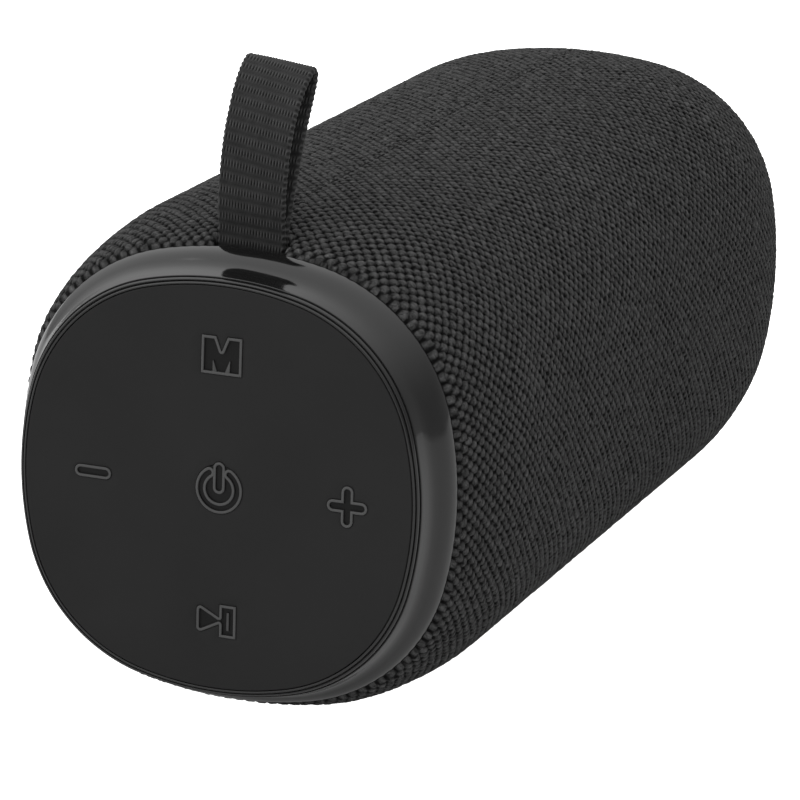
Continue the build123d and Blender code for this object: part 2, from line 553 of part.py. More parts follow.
# ---------------------------------------------------------------- strap
# The webbing leaves the slot as two layers, opens into a loop and closes in a tight fold at the top.
# Points are (y, z) along the middle of the webbing, up the front layer and down the rear one.
front_layer = [(-83.62, 38.6), (-83.85, 40.4), (-84.0, 42.6), (-83.7, 46.4), (-82.9, 50.4), (-81.5, 54.2), (-79.3, 57.7), (-76.4, 60.6), (-73.6, 62.3)]
fold = [(-72.35, 62.35), (-71.85, 61.5), (-72.2, 60.4)]
rear_layer = [(-74.0, 57.2), (-76.2, 53.2), (-78.2, 49.0), (-79.9, 45.0), (-81.3, 41.2), (-82.1, 39.5), (-82.42, 38.6)]
line = front_layer + fold + rear_layer


def ribbon_outline(pts, t):
    """Offset both sides of an open line of points by t/2 and close it."""
    left, right = [], []
    n = len(pts)
    for i, (y, z) in enumerate(pts):
        a = pts[max(i - 1, 0)]
        b = pts[min(i + 1, n - 1)]
        dy, dz = b[0] - a[0], b[1] - a[1]
        m = math.hypot(dy, dz)
        ny, nz = -dz / m, dy / m
        left.append((y + ny * t / 2, z + nz * t / 2))
        right.append((y - ny * t / 2, z - nz * t / 2))
    return left + right[::-1]


loop_pts = ribbon_outline(line, WEB_T)
loop_face = Face(Wire.make_polygon([Vector(STRAP_X0, y, z) for y, z in loop_pts]))
loop = extrude(loop_face, amount=STRAP_X1 - STRAP_X0, dir=(1, 0, 0))
# where the two layers meet, the loop ends in a round root that it swings about, just above the sleeve
loop = loop + cyl(STRAP_X0, STRAP_PIVOT_Y, STRAP_PIVOT_Z, (1, 0, 0), 1.19, STRAP_X1 - STRAP_X0)
add("strap_loop", loop)
TAIL_TOP = STRAP_PIVOT_Z - 1.25
tail = box(STRAP_X0, STRAP_X1, -84.22, -83.04, 28.4, TAIL_TOP) + box(STRAP_X0, STRAP_X1, -83.02, -81.85, 28.4, TAIL_TOP)
tail = tail - cyl(STRAP_CX, -86, 30.3, (0, 1, 0), 1.1, 8)
add("strap_tail", tail)
add("strap_screw", screw(STRAP_CX, -80.5, 30.3, (0, -1, 0), 2.0, 1.3, 1.0, 4.9))

# ---------------------------------------------------------------- write
os.makedirs("parts", exist_ok=True)
for old in os.listdir("parts"):
    if old.endswith(".step"):
        os.remove(os.path.join("parts", old))
for name, solids in parts.items():
    moved = [Pos(0, 0, AXIS_HEIGHT) * s for s in solids]
    shape = moved[0] if len(moved) == 1 else Compound(children=moved)
    shape.label = name
    export_step(shape, os.path.join("parts", name + ".step"))
print(len(parts), "nodes")
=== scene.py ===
import json
import math

import bmesh
import bpy
import numpy as np
from mathutils import Matrix, Vector
from mathutils.geometry import delaunay_2d_cdt


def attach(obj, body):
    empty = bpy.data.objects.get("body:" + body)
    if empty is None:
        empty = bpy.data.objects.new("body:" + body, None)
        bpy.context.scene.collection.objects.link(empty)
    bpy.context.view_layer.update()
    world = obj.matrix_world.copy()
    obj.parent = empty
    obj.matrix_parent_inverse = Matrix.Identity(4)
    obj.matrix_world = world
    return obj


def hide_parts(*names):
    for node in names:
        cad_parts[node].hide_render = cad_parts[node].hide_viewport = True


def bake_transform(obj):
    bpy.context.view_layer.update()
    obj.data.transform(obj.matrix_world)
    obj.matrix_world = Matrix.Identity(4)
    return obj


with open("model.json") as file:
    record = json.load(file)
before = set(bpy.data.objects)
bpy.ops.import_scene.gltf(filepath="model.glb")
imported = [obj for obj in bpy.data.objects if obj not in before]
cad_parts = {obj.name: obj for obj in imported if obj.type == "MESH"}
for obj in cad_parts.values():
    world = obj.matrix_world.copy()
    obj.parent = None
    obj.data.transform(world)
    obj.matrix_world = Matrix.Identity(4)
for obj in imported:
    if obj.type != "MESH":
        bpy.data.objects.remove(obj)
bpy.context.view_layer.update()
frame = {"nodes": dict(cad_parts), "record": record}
nodes = frame["nodes"]

# Lengths below are millimetres about the barrel's own axis; AXIS lifts them to the row frame.
AXIS = 39.75
RING_EDGE_Y, RING_EDGE_HALF, HALF_WIDTH, END_ROUND = 85.2, 36.0, 40.0, 24.2
BARREL, FACE = (1.07598, 0.74), (1.0512, 0.80)
PANEL_HALF, PANEL_FACE_Y, PANEL_BACK_Y = 31.8, -94.1, -90.6
KEY_PITCH, KEY_X, KEY_Z, KEY_GAP = 21.0, 0.62, 0.20, 0.05
STRAP_X0, STRAP_X1 = -4.85, 6.10
PORT_Y, PORT_HALF_Y, PORT_HALF_Z = 8.0, 25.5, 7.5
# knit cell along and round the barrel, half-axes of a loop head (long, short) and its lean's cosine and sine
CELL_P, CELL_Q = 2.3, 2.1
HEAD = (0.86, 0.90)
LEAN = (math.cos(math.radians(-8)), math.sin(math.radians(-8)))


# ------------------------------------------------------------------ camera
scene = bpy.context.scene
cam_data = bpy.data.cameras.new("camera")
cam_data.lens = 209.6
cam_data.sensor_width = 36.0
cam_data.clip_start, cam_data.clip_end = 0.05, 20.0
cam = bpy.data.objects.new("camera", cam_data)
scene.collection.objects.link(cam)
right, up, ahead = (
    Vector((0.93546, 0.35190, 0.03292)),
    Vector((-0.12339, 0.23789, 0.96342)),
    Vector((-0.33120, 0.90530, -0.26596)),
)
cam.matrix_world = Matrix(
    (
        (right.x, up.x, -ahead.x, 0.2595),
        (right.y, up.y, -ahead.y, -0.7232),
        (right.z, up.z, -ahead.z, 0.2425),
        (0, 0, 0, 1),
    )
)
scene.camera = cam


# ------------------------------------------------------------------ meshes from arrays
def make_mesh(name, points, faces, body=None, uv=None, smooth=True, material=None, attrs=None):
    """points in mm about the axis; faces an (n, 3) or (n, 4) array, or a list of such; uv per corner."""
    blocks = faces if isinstance(faces, list) else [faces]
    blocks = [np.asarray(f, np.int32) for f in blocks if len(f)]
    points = np.asarray(points, float) * 1e-3
    points[:, 2] += AXIS * 1e-3
    me = bpy.data.meshes.new(name)
    corners = np.concatenate([f.ravel() for f in blocks])
    sizes = np.concatenate([np.full(len(f), f.shape[1], np.int32) for f in blocks])
    starts = np.concatenate([[0], np.cumsum(sizes)[:-1]]).astype(np.int32)
    me.vertices.add(len(points))
    me.vertices.foreach_set("co", points.astype(np.float32).ravel())
    me.loops.add(len(corners))
    me.loops.foreach_set("vertex_index", corners.astype(np.int32))
    me.polygons.add(len(sizes))
    me.polygons.foreach_set("loop_start", starts)
    me.polygons.foreach_set("use_smooth", np.full(len(sizes), smooth, bool))
    me.update(calc_edges=True)
    if uv is not None:
        layer = me.uv_layers.new(name="surface")
        layer.data.foreach_set("uv", np.asarray(uv, np.float32).ravel())
    for key, values in (attrs or {}).items():
        a = me.attributes.new(key, "FLOAT", "POINT")
        a.data.foreach_set("value", np.asarray(values, np.float32))
    me.validate()
    ob = bpy.data.objects.new(name, me)
    scene.collection.objects.link(ob)
    if material is not None:
        me.materials.append(material)
    if body:
        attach(ob, body)
    return ob


def grid(rows, cols, wrap=False, start=0, flip=False):
    """Quads of a rows x cols grid of points, row by row; wrap joins the last column to the first."""
    r = np.arange(rows - 1)[:, None]
    c = np.arange(cols if wrap else cols - 1)[None, :]
    d = (c + 1) % cols
    q = np.stack([r * cols + c, r * cols + d, (r + 1) * cols + d, (r + 1) * cols + c], -1)
    q = q.reshape(-1, 4) + start
    return q[:, ::-1] if flip else q


def ring_uv(rows_v, cols_u, flip=False):
    """Corner UVs of a wrapped grid whose row values are rows_v and whose column values run cols_u to 1."""
    rows, cols = len(rows_v), len(cols_u)
    nxt = np.append(cols_u[1:], 1.0 + cols_u[0])
    v0, v1 = rows_v[:-1, None], rows_v[1:, None]
    u0, u1 = cols_u[None, :], nxt[None, :]
    full = lambda a: np.broadcast_to(a, (rows - 1, cols))
    corner = [
        (full(u0), full(v0)), (full(u1), full(v0)), (full(u1), full(v1)), (full(u0), full(v1)),
    ]
    if flip:
        corner = corner[::-1]
    return np.stack([np.stack(c, -1) for c in corner], 2).reshape(-1, 2)


# ------------------------------------------------------------------ the barrel's section
def family_arcs(family):
    q, k2 = family
    c = (q - k2) / math.sqrt(2)
    k1 = (k2 * k2 - c * c - (c - 1) ** 2) / (2 * (c - 1) + 2 * k2)
    return c, k1, k2, math.atan2(c, c + (k1 - 1))


def section(half, family, u, off=0.0):
    """Points and outward normals of the rounded square at shares u of its length, from +Z towards +X."""
    c, k1, k2, turn = family_arcs(family)
    half, u, off = np.broadcast_arrays(np.asarray(half, float), np.asarray(u, float), np.asarray(off, float))
    r1, r2, bz, cc = k1 * half + off, k2 * half + off, -(k1 - 1) * half, c * half
    a, b = r1 * turn, r2 * (math.pi / 2 - 2 * turn)
    u = u % 1.0
    k = np.floor(u * 4).astype(int)
    s = (u * 4 - k) * (2 * a + b)
    first, last = s < a, s > a + b
    th = np.where(first, s / r1, np.where(last, math.pi / 2 - (2 * a + b - s) / r1, turn + (s - a) / r2))
    sn, cs = np.sin(th), np.cos(th)
    x = np.where(first, r1 * sn, np.where(last, bz + r1 * sn, cc + r2 * sn))
    z = np.where(first, bz + r1 * cs, np.where(last, r1 * cs, cc + r2 * cs))
    px = np.choose(k, [x, z, -x, -z])
    pz = np.choose(k, [z, -x, -z, x])
    nx = np.choose(k, [sn, cs, -sn, -cs])
    nz = np.choose(k, [cs, -sn, -cs, sn])
    return px, pz, nx, nz


def half_at(y):
    """Half-width of the knit barrel at y."""
    t = np.clip((RING_EDGE_Y - np.abs(y)) / END_ROUND, 0, 1)
    return RING_EDGE_HALF + (HALF_WIDTH - RING_EDGE_HALF) * (1 - (1 - t) ** 1.397) ** (1 / 1.748)


def share_at(x, z, half, family=BARREL):
    """The share u at which the section passes in the direction of (x, z), found on a fine table."""
    table = np.linspace(0, 1, 7201)
    px, pz, _, _ = section(half, family, table)
    want = math.atan2(x, z) % (2 * math.pi)
    have = np.unwrap(np.arctan2(px, pz))
    have -= have[0] - (have[0] % (2 * math.pi))
    return float(np.interp(want, have, table))


# ------------------------------------------------------------------ materials
class Nodes:
    """A short way to write node materials."""

    def __init__(self, name):
        self.mat = bpy.data.materials.new(name)
        self.mat.use_nodes = True
        self.tree = self.mat.node_tree
        self.tree.nodes.clear()
        self.out = self.tree.nodes.new("ShaderNodeOutputMaterial")
        self.bsdf = self.tree.nodes.new("ShaderNodeBsdfPrincipled")
        self.tree.links.new(self.bsdf.outputs[0], self.out.inputs[0])

    def new(self, kind, **props):
        n = self.tree.nodes.new(kind)
        for k, v in props.items():
            setattr(n, k, v)
        return n

    def put(self, socket, value):
        if hasattr(value, "is_output"):
            self.tree.links.new(value, socket)
        else:
            socket.default_value = value

    def math(self, op, a, b=0.0, c=0.0, clamp=False):
        n = self.new("ShaderNodeMath", operation=op, use_clamp=clamp)
        for s, v in zip(n.inputs, (a, b, c)):
            self.put(s, v)
        return n.outputs[0]

    def noise(self, vector, scale, detail=3.0, rough=0.55, distortion=0.0, kind="fac"):
        n = self.new("ShaderNodeTexNoise")
        self.put(n.inputs["Vector"], vector)
        n.inputs["Scale"].default_value = scale
        n.inputs["Detail"].default_value = detail
        n.inputs["Roughness"].default_value = rough
        n.inputs["Distortion"].default_value = distortion
        return n.outputs[0] if kind == "fac" else n.outputs[1]

    def voronoi(self, vector, scale, feature="F1"):
        n = self.new("ShaderNodeTexVoronoi", feature=feature)
        self.put(n.inputs["Vector"], vector)
        n.inputs["Scale"].default_value = scale
        return n.outputs["Distance"]

    def ramp(self, fac, stops):
        n = self.new("ShaderNodeValToRGB")
        r = n.color_ramp
        while len(r.elements) < len(stops):
            r.elements.new(0.5)
        for e, (p, col) in zip(r.elements, stops):
            e.position = p
            e.color = col if hasattr(col, "__len__") else (col, col, col, 1)
        self.put(n.inputs[0], fac)
        return n.outputs[0]

    def mix(self, fac, a, b):
        n = self.new("ShaderNodeMix", data_type="RGBA")
        self.put(n.inputs[0], fac)
        self.put(n.inputs[6], a)
        self.put(n.inputs[7], b)
        return n.outputs[2]

    def span(self, value, a, b, c, d):
        n = self.new("ShaderNodeMapRange")
        self.put(n.inputs[0], value)
        for s, v in zip(n.inputs[1:5], (a, b, c, d)):
            self.put(s, v)
        return n.outputs[0]

    def bump(self, height, strength, distance, normal=None):
        n = self.new("ShaderNodeBump")
        n.inputs["Strength"].default_value = strength
        n.inputs["Distance"].default_value = distance
        self.put(n.inputs["Height"], height)
        if normal is not None:
            self.put(n.inputs["Normal"], normal)
        return n.outputs[0]

    def place(self):
        return self.new("ShaderNodeTexCoord").outputs["Object"]

    def uv(self):
        n = self.new("ShaderNodeUVMap")
        n.uv_map = "surface"
        return n.outputs[0]

    def scaled(self, vector, scale):
        n = self.new("ShaderNodeMapping")
        self.put(n.inputs["Vector"], vector)
        n.inputs["Scale"].default_value = scale
        return n.outputs[0]

    def attribute(self, name):
        n = self.new("ShaderNodeAttribute")
        n.attribute_name = name
        return n.outputs["Fac"]

    def set(self, **sockets):
        for k, v in sockets.items():
            self.put(self.bsdf.inputs[k.replace("_", " ")], v)


def rgb(r, g=None, b=None):
    g = r if g is None else g
    b = r if b is None else b
    return (r, g, b, 1.0)


def moulded(name, dark, light, rough=(0.4, 0.55), grain=900.0, bump=0.12, depth=0.00004, ior=0.5, blotch=40.0, metal=0.0):
    """Moulded plastic or rubber: mottled colour, fine grain in the surface, uneven roughness."""
    m = Nodes(name)
    p = m.place()
    big = m.noise(p, blotch, 4.0)
    fine = m.noise(p, grain, 3.0, 0.65)
    m.set(
        Base_Color=m.mix(m.span(big, 0.3, 0.7, 0, 1), dark, light),
        Roughness=m.span(m.noise(p, blotch * 3, 3.0), 0.25, 0.75, rough[0], rough[1]),
        Specular_IOR_Level=ior,
        Metallic=metal,
        Normal=m.bump(fine, bump, depth),
    )
    return m.mat


def metal(name, dark, light, rough=(0.25, 0.45), brushed=(1, 1, 1), grain=400.0, bump=0.15):
    m = Nodes(name)
    p = m.place()
    streak = m.noise(m.scaled(p, brushed), grain, 4.0, 0.6)
    big = m.noise(p, 60.0, 3.0)
    m.set(
        Base_Color=m.mix(m.span(big, 0.3, 0.7, 0, 1), dark, light),
        Metallic=1.0,
        Roughness=m.span(streak, 0.3, 0.7, rough[0], rough[1]),
        Normal=m.bump(streak, bump, 0.00003),
    )
    return m.mat


MATS = {}


def tinted(m, shade, tone):
    """shade darkened or lightened by the number tone."""
    n = m.new("ShaderNodeMix", data_type="RGBA", blend_type="MULTIPLY")
    n.inputs[0].default_value = 1.0
    m.put(n.inputs[6], shade)
    grey = m.new("ShaderNodeCombineColor")
    for s in grey.inputs[:3]:
        m.put(s, tone)
    m.put(n.inputs[7], grey.outputs[0])
    return n.outputs[2]


def knit_height(m, uv):
    """The same loop heads as in the mesh, in full sharpness: 0 in the gaps, 1 on top of a loop."""
    drift = m.new("ShaderNodeVectorMath", operation="MULTIPLY_ADD")
    m.put(drift.inputs[0], m.noise(uv, 1.9, 2.0, 0.6, kind="color"))
    drift.inputs[1].default_value = (0.62, 0.62, 0.0)
    drift.inputs[2].default_value = (-0.31, -0.31, 0.0)
    moved = m.new("ShaderNodeVectorMath", operation="ADD")
    m.put(moved.inputs[0], uv)
    m.put(moved.inputs[1], drift.outputs[0])
    parts = m.new("ShaderNodeSeparateXYZ")
    m.put(parts.inputs[0], moved.outputs[0])
    top = None
    for o in (0.5, 1.0):
        dq = m.math("MULTIPLY_ADD", m.math("FRACT", m.math("ADD", parts.outputs[0], o)), CELL_Q, -CELL_Q / 2)
        here = m.math("MULTIPLY_ADD", m.math("FRACT", m.math("ADD", parts.outputs[1], o)), CELL_P, -CELL_P / 2)
        a = m.math("MULTIPLY_ADD", here, LEAN[0] / HEAD[0], m.math("MULTIPLY", dq, LEAN[1] / HEAD[0]))
        b = m.math("MULTIPLY_ADD", dq, LEAN[0] / HEAD[1], m.math("MULTIPLY", here, -LEAN[1] / HEAD[1]))
        head = m.math("SUBTRACT", 1.0, m.math("MULTIPLY_ADD", a, a, m.math("MULTIPLY", b, b)))
        top = head if top is None else m.math("MAXIMUM", top, head)
    return m.math("SQRT", m.math("MAXIMUM", top, 0.0))


def material_knit():
    """Coarse knit of black polyester: charcoal loop faces, painted shade in the gaps, fine fibres, painted highlights
    on the strands and a soft sheen.
    """
    m = Nodes("knit_polyester")
    uv = m.uv()
    p = m.place()
    mesh_relief = m.attribute("relief")
    head = knit_height(m, uv)
    # painted shade: the mesh's relief is low in the gaps, the seam furrow and the hem strip, and darkens the colour
    # there
    relief = m.math("MULTIPLY", head, m.span(mesh_relief, 0.0, 0.5, 0.35, 1.0))
    # fibres run round the barrel with the loops: noise stretched in the knit's own coordinates
    fibre = m.noise(m.scaled(uv, (2.6, 9.0, 1.0)), 1.0, 4.0, 0.7, 0.9)
    fuzz = m.noise(p, 2700.0, 3.0, 0.75)
    patch = m.noise(p, 34.0, 3.0)
    loop_tone = m.noise(m.scaled(uv, (1.5, 1.5, 1.0)), 1.0, 1.0)
    # painted shade: the colour runs near black in the gaps between loops and lighter on the loop tops
    shade = m.ramp(relief, [(0.0, 0.0005), (0.25, 0.0012), (0.48, 0.0115), (0.72, 0.036), (1.0, 0.060)])
    tone = m.math("MULTIPLY", m.span(fibre, 0.3, 0.7, 0.26, 1.82), m.span(patch, 0.3, 0.7, 0.92, 1.10))
    tone = m.math("MULTIPLY", tone, m.span(loop_tone, 0.3, 0.7, 0.72, 1.28))
    # painted highlight: bright strand glints mixed into the colour on the loop tops
    painted_glint = m.span(m.noise(m.scaled(uv, (4.0, 11.0, 1.0)), 1.0, 2.0), 0.66, 0.74, 0.0, 1.0)
    base = m.mix(m.math("MULTIPLY", m.math("MULTIPLY", painted_glint, relief), 0.55), tinted(m, shade, tone), rgb(0.13))
    bumped = m.bump(relief, 0.9, 0.00045)
    bumped = m.bump(fibre, 0.95, 0.00048, bumped)
    bumped = m.bump(fuzz, 0.5, 0.00010, bumped)
    m.set(
        Base_Color=base,
        Roughness=m.span(fibre, 0.2, 0.8, 0.72, 0.95),
        Specular_IOR_Level=0.14,
        Sheen_Weight=0.02,
        Sheen_Roughness=0.5,
        Normal=bumped,
    )
    return m.mat


def material_gloss():
    """Black gloss moulding: deep colour, faint orange peel, dust specks and fine hairline wear."""
    m = Nodes("gloss_black_moulding")
    p = m.place()
    peel = m.noise(p, 160.0, 2.0, 0.4)
    specks = m.span(m.voronoi(p, 900.0), 0.0, 0.05, 1.0, 0.0)
    wear = m.noise(m.scaled(p, (1.0, 0.12, 1.0)), 700.0, 5.0, 0.7)
    base = m.mix(m.span(m.noise(p, 30.0, 3.0), 0.3, 0.7, 0, 1), rgb(0.0045), rgb(0.0075))
    base = m.mix(m.math("MULTIPLY", specks, 0.25), base, rgb(0.05))
    m.set(
        Base_Color=base,
        Roughness=m.span(wear, 0.35, 0.75, 0.075, 0.15),
        Specular_IOR_Level=0.45,
        Normal=m.bump(peel, 0.06, 0.0002),
    )
    return m.mat


def material_silicone(name, dark, light, ior=0.3, rough=(0.5, 0.62), raised=False):
    """Matt silicone: soft mottled black with a powdery sheen and a very fine grain."""
    m = Nodes(name)
    p = m.place()
    big = m.noise(p, 22.0, 3.0)
    fine = m.noise(p, 2600.0, 3.0, 0.7)
    lint = m.span(m.noise(p, 850.0, 5.0, 0.75), 0.66, 0.80, 0.0, 1.0)
    base = m.mix(m.span(big, 0.3, 0.7, 0, 1), dark, light)
    base = m.mix(m.math("MULTIPLY", lint, 0.05), base, rgb(0.08))
    if raised:
        # painted highlight on the raised lines and painted shade on the recessed face inside them, from the tone stored
        # in the relief attribute
        ridge_highlight_recess_shade = m.attribute("relief")
        base = tinted(m, base, m.span(ridge_highlight_recess_shade, 0.4, 0.9, 0.08, 5.4))
    m.set(
        Base_Color=base,
        Roughness=m.span(m.noise(p, 70.0, 4.0), 0.3, 0.7, rough[0], rough[1]),
        Specular_IOR_Level=ior,
        Sheen_Weight=0.03,
        Sheen_Roughness=0.4,
        Normal=m.bump(fine, 0.14, 0.00003),
    )
    return m.mat


def material_webbing():
    """Woven nylon webbing: ribs along the strap, painted shade in the gaps between picks and painted light on the rib
    tops, fine filaments.
    """
    m = Nodes("woven_nylon")
    uv = m.uv()
    p = m.place()
    relief = m.attribute("relief")
    filament = m.noise(m.scaled(uv, (9.0, 1.3, 1.0)), 1.0, 4.0, 0.65, 0.3)
    # painted shade: the colour runs near black where relief is low in the slits and gaps, and lighter on the rib tops
    shade = m.ramp(relief, [(0.0, 0.0010), (0.35, 0.0070), (0.62, 0.0195), (1.0, 0.056)])
    tone = m.math("MULTIPLY", m.span(filament, 0.3, 0.7, 0.55, 1.5), m.span(m.noise(p, 60.0, 2.0), 0.3, 0.7, 0.92, 1.1))
    base = tinted(m, shade, tone)
    bumped = m.bump(filament, 0.5, 0.00008)
    bumped = m.bump(m.noise(p, 6000.0, 2.0), 0.25, 0.00003, bumped)
    m.set(
        Base_Color=base,
        Roughness=m.span(filament, 0.2, 0.8, 0.5, 0.75),
        Specular_IOR_Level=0.2,
        Sheen_Weight=0.02,
        Normal=bumped,
    )
    return m.mat


def material_board():
    """Solder-masked circuit board with traces and pads."""
    m = Nodes("solder_mask")
    p = m.place()
    brick = m.new("ShaderNodeTexBrick")
    m.put(brick.inputs["Vector"], m.scaled(p, (420.0, 420.0, 420.0)))
    brick.inputs["Scale"].default_value = 1.0
    brick.inputs["Mortar Size"].default_value = 0.06
    lines = brick.outputs["Fac"]
    pads = m.span(m.voronoi(p, 700.0), 0.12, 0.16, 1.0, 0.0)
    base = m.mix(lines, rgb(0.006, 0.045, 0.016), rgb(0.012, 0.085, 0.03))
    base = m.mix(m.math("MULTIPLY", pads, 0.6), base, rgb(0.45, 0.36, 0.16))
    m.set(
        Base_Color=base,
        Roughness=m.span(m.noise(p, 200.0), 0.3, 0.7, 0.28, 0.45),
        Metallic=m.math("MULTIPLY", pads, 0.6),
        Normal=m.bump(lines, 0.2, 0.00004),
    )
    return m.mat


def material_paper():
    """Pressed paper pulp with long fibres."""
    m = Nodes("pressed_pulp")
    p = m.place()
    pulp = m.noise(p, 700.0, 6.0, 0.75, 1.2)
    m.set(
        Base_Color=m.mix(m.span(pulp, 0.35, 0.65, 0, 1), rgb(0.012), rgb(0.032, 0.031, 0.030)),
        Roughness=m.span(pulp, 0.3, 0.7, 0.75, 0.95),
        Normal=m.bump(pulp, 0.5, 0.00012),
    )
    return m.mat


def material_foam(name, dark, light, scale=2200.0):
    m = Nodes(name)
    p = m.place()
    cells = m.voronoi(p, scale)
    m.set(
        Base_Color=m.mix(m.span(cells, 0.1, 0.7, 0, 1), dark, light),
        Roughness=m.span(m.noise(p, 300.0), 0.3, 0.7, 0.85, 0.98),
        Normal=m.bump(cells, 0.6, 0.00015),
    )
    return m.mat


def material_wrap():
    """Shrink-wrapped cells: thin coloured film, wrinkles near the ends, soft gloss."""
    m = Nodes("shrink_wrap")
    p = m.place()
    crease = m.noise(m.scaled(p, (1.0, 0.25, 1.0)), 220.0, 4.0, 0.6, 0.8)
    m.set(
        Base_Color=m.mix(m.span(crease, 0.3, 0.7, 0, 1), rgb(0.01, 0.09, 0.20), rgb(0.016, 0.13, 0.27)),
        Roughness=m.span(crease, 0.3, 0.7, 0.22, 0.4),
        Normal=m.bump(crease, 0.3, 0.0001),
    )
    return m.mat


def build_materials():
    MATS["knit_fabric"] = material_knit()
    MATS["trim_gloss"] = material_gloss()
    MATS["silicone_black"] = material_silicone("matt_silicone", rgb(0.0093), rgb(0.0120), 0.185)
    MATS["webbing"] = material_webbing()
    MATS["housing_plastic"] = moulded("housing_abs", rgb(0.017), rgb(0.028), (0.45, 0.65), 1300.0, 0.2)
    MATS["frame_steel"] = metal("pressed_steel", rgb(0.30), rgb(0.42), (0.3, 0.5))
    MATS["pole_steel"] = metal("zinc_plate", rgb(0.42, 0.41, 0.38), rgb(0.58, 0.57, 0.54), (0.25, 0.42), (1, 0.2, 1))
    MATS["ferrite"] = moulded("sintered_ferrite", rgb(0.03), rgb(0.06), (0.55, 0.8), 2200.0, 0.35)
    MATS["cone_paper"] = material_paper()
    MATS["soft_rubber"] = material_silicone("soft_rubber", rgb(0.012), rgb(0.020), 0.4, (0.42, 0.6))
    MATS["spider_cloth"] = material_foam("corrugated_cloth", rgb(0.28, 0.20, 0.09), rgb(0.42, 0.31, 0.15), 1500.0)
    MATS["foam"] = material_foam("cell_foam", rgb(0.008), rgb(0.03))
    MATS["cap_satin"] = moulded("satin_cap", rgb(0.016), rgb(0.025), (0.3, 0.42), 1500.0, 0.1)
    MATS["weight_steel"] = metal("turned_steel", rgb(0.34), rgb(0.46), (0.25, 0.45), (1, 6, 1))
    MATS["circuit_board"] = material_board()
    MATS["component_black"] = moulded("component_epoxy", rgb(0.012), rgb(0.02), (0.4, 0.6), 1800.0, 0.15)
    MATS["socket_steel"] = metal("plated_shell", rgb(0.52), rgb(0.66), (0.18, 0.32), (0.3, 1, 1))
    MATS["screw_steel"] = metal("blackened_screw", rgb(0.05), rgb(0.10), (0.3, 0.5))
    MATS["cell_wrap"] = material_wrap()
    MATS["cradle_plastic"] = moulded("cradle_nylon", rgb(0.14), rgb(0.19), (0.5, 0.7), 1200.0, 0.2)
    MATS["wire_sheath"] = moulded("wire_sheath", rgb(0.30, 0.014, 0.010), rgb(0.40, 0.02, 0.014), (0.35, 0.5), 1500.0, 0.08)
    MATS["ribbon_film"] = moulded("polyimide_film", rgb(0.36, 0.15, 0.02), rgb(0.46, 0.20, 0.03), (0.25, 0.4), 500.0, 0.1)


build_materials()
slot_of = {s["node"]: s["material_slot"] for s in frame["record"]["subparts"]}
for name, node in nodes.items():
    node.data.materials.clear()
    node.data.materials.append(MATS[slot_of[name]])


# ------------------------------------------------------------------ knit sleeve
ROWS_PER_MM = 74 / 170.4            # knit cells along the barrel
CELLS_ALONG, CELLS_ROUND = 74, 128
FINE = 8


def noise_field(shape, knots, seed, wrap=True):
    """Smooth seeded noise on a rows x cols grid, about -1 to 1."""
    rng = np.random.default_rng(seed)
    a = rng.uniform(-1, 1, (knots[0] + 2, knots[1] + (0 if wrap else 2)))
    y = np.linspace(0, knots[0], shape[0])
    x = np.arange(shape[1]) / shape[1] * knots[1] if wrap else np.linspace(0, knots[1], shape[1])
    yi, xi = np.floor(y).astype(int), np.floor(x).astype(int)
    fy, fx = (y - yi)[:, None], (x - xi)[None, :]
    fy, fx = fy * fy * (3 - 2 * fy), fx * fx * (3 - 2 * fx)
    n = a.shape[1]
    x1 = (xi + 1) % n if wrap else xi + 1
    xi = xi % n if wrap else xi
    return (a[np.ix_(yi, xi)] * (1 - fx) + a[np.ix_(yi, x1)] * fx) * (1 - fy) + (
        a[np.ix_(yi + 1, xi)] * (1 - fx) + a[np.ix_(yi + 1, x1)] * fx
    ) * fy


def pebbles(p, q):
    """Height of the knit: oval loop heads on a centred lattice with gaps between them."""
    out = np.zeros_like(p)
    for o in (0.0, 0.5):
        dp, dq = p + o, q + o
        dp, dq = (dp - np.round(dp)) * CELL_P, (dq - np.round(dq)) * CELL_Q
        a, b = dp * LEAN[0] + dq * LEAN[1], dq * LEAN[0] - dp * LEAN[1]
        out = np.maximum(out, 1 - (a / HEAD[0]) ** 2 - (b / HEAD[1]) ** 2)
    return np.sqrt(np.clip(out, 0, 1))


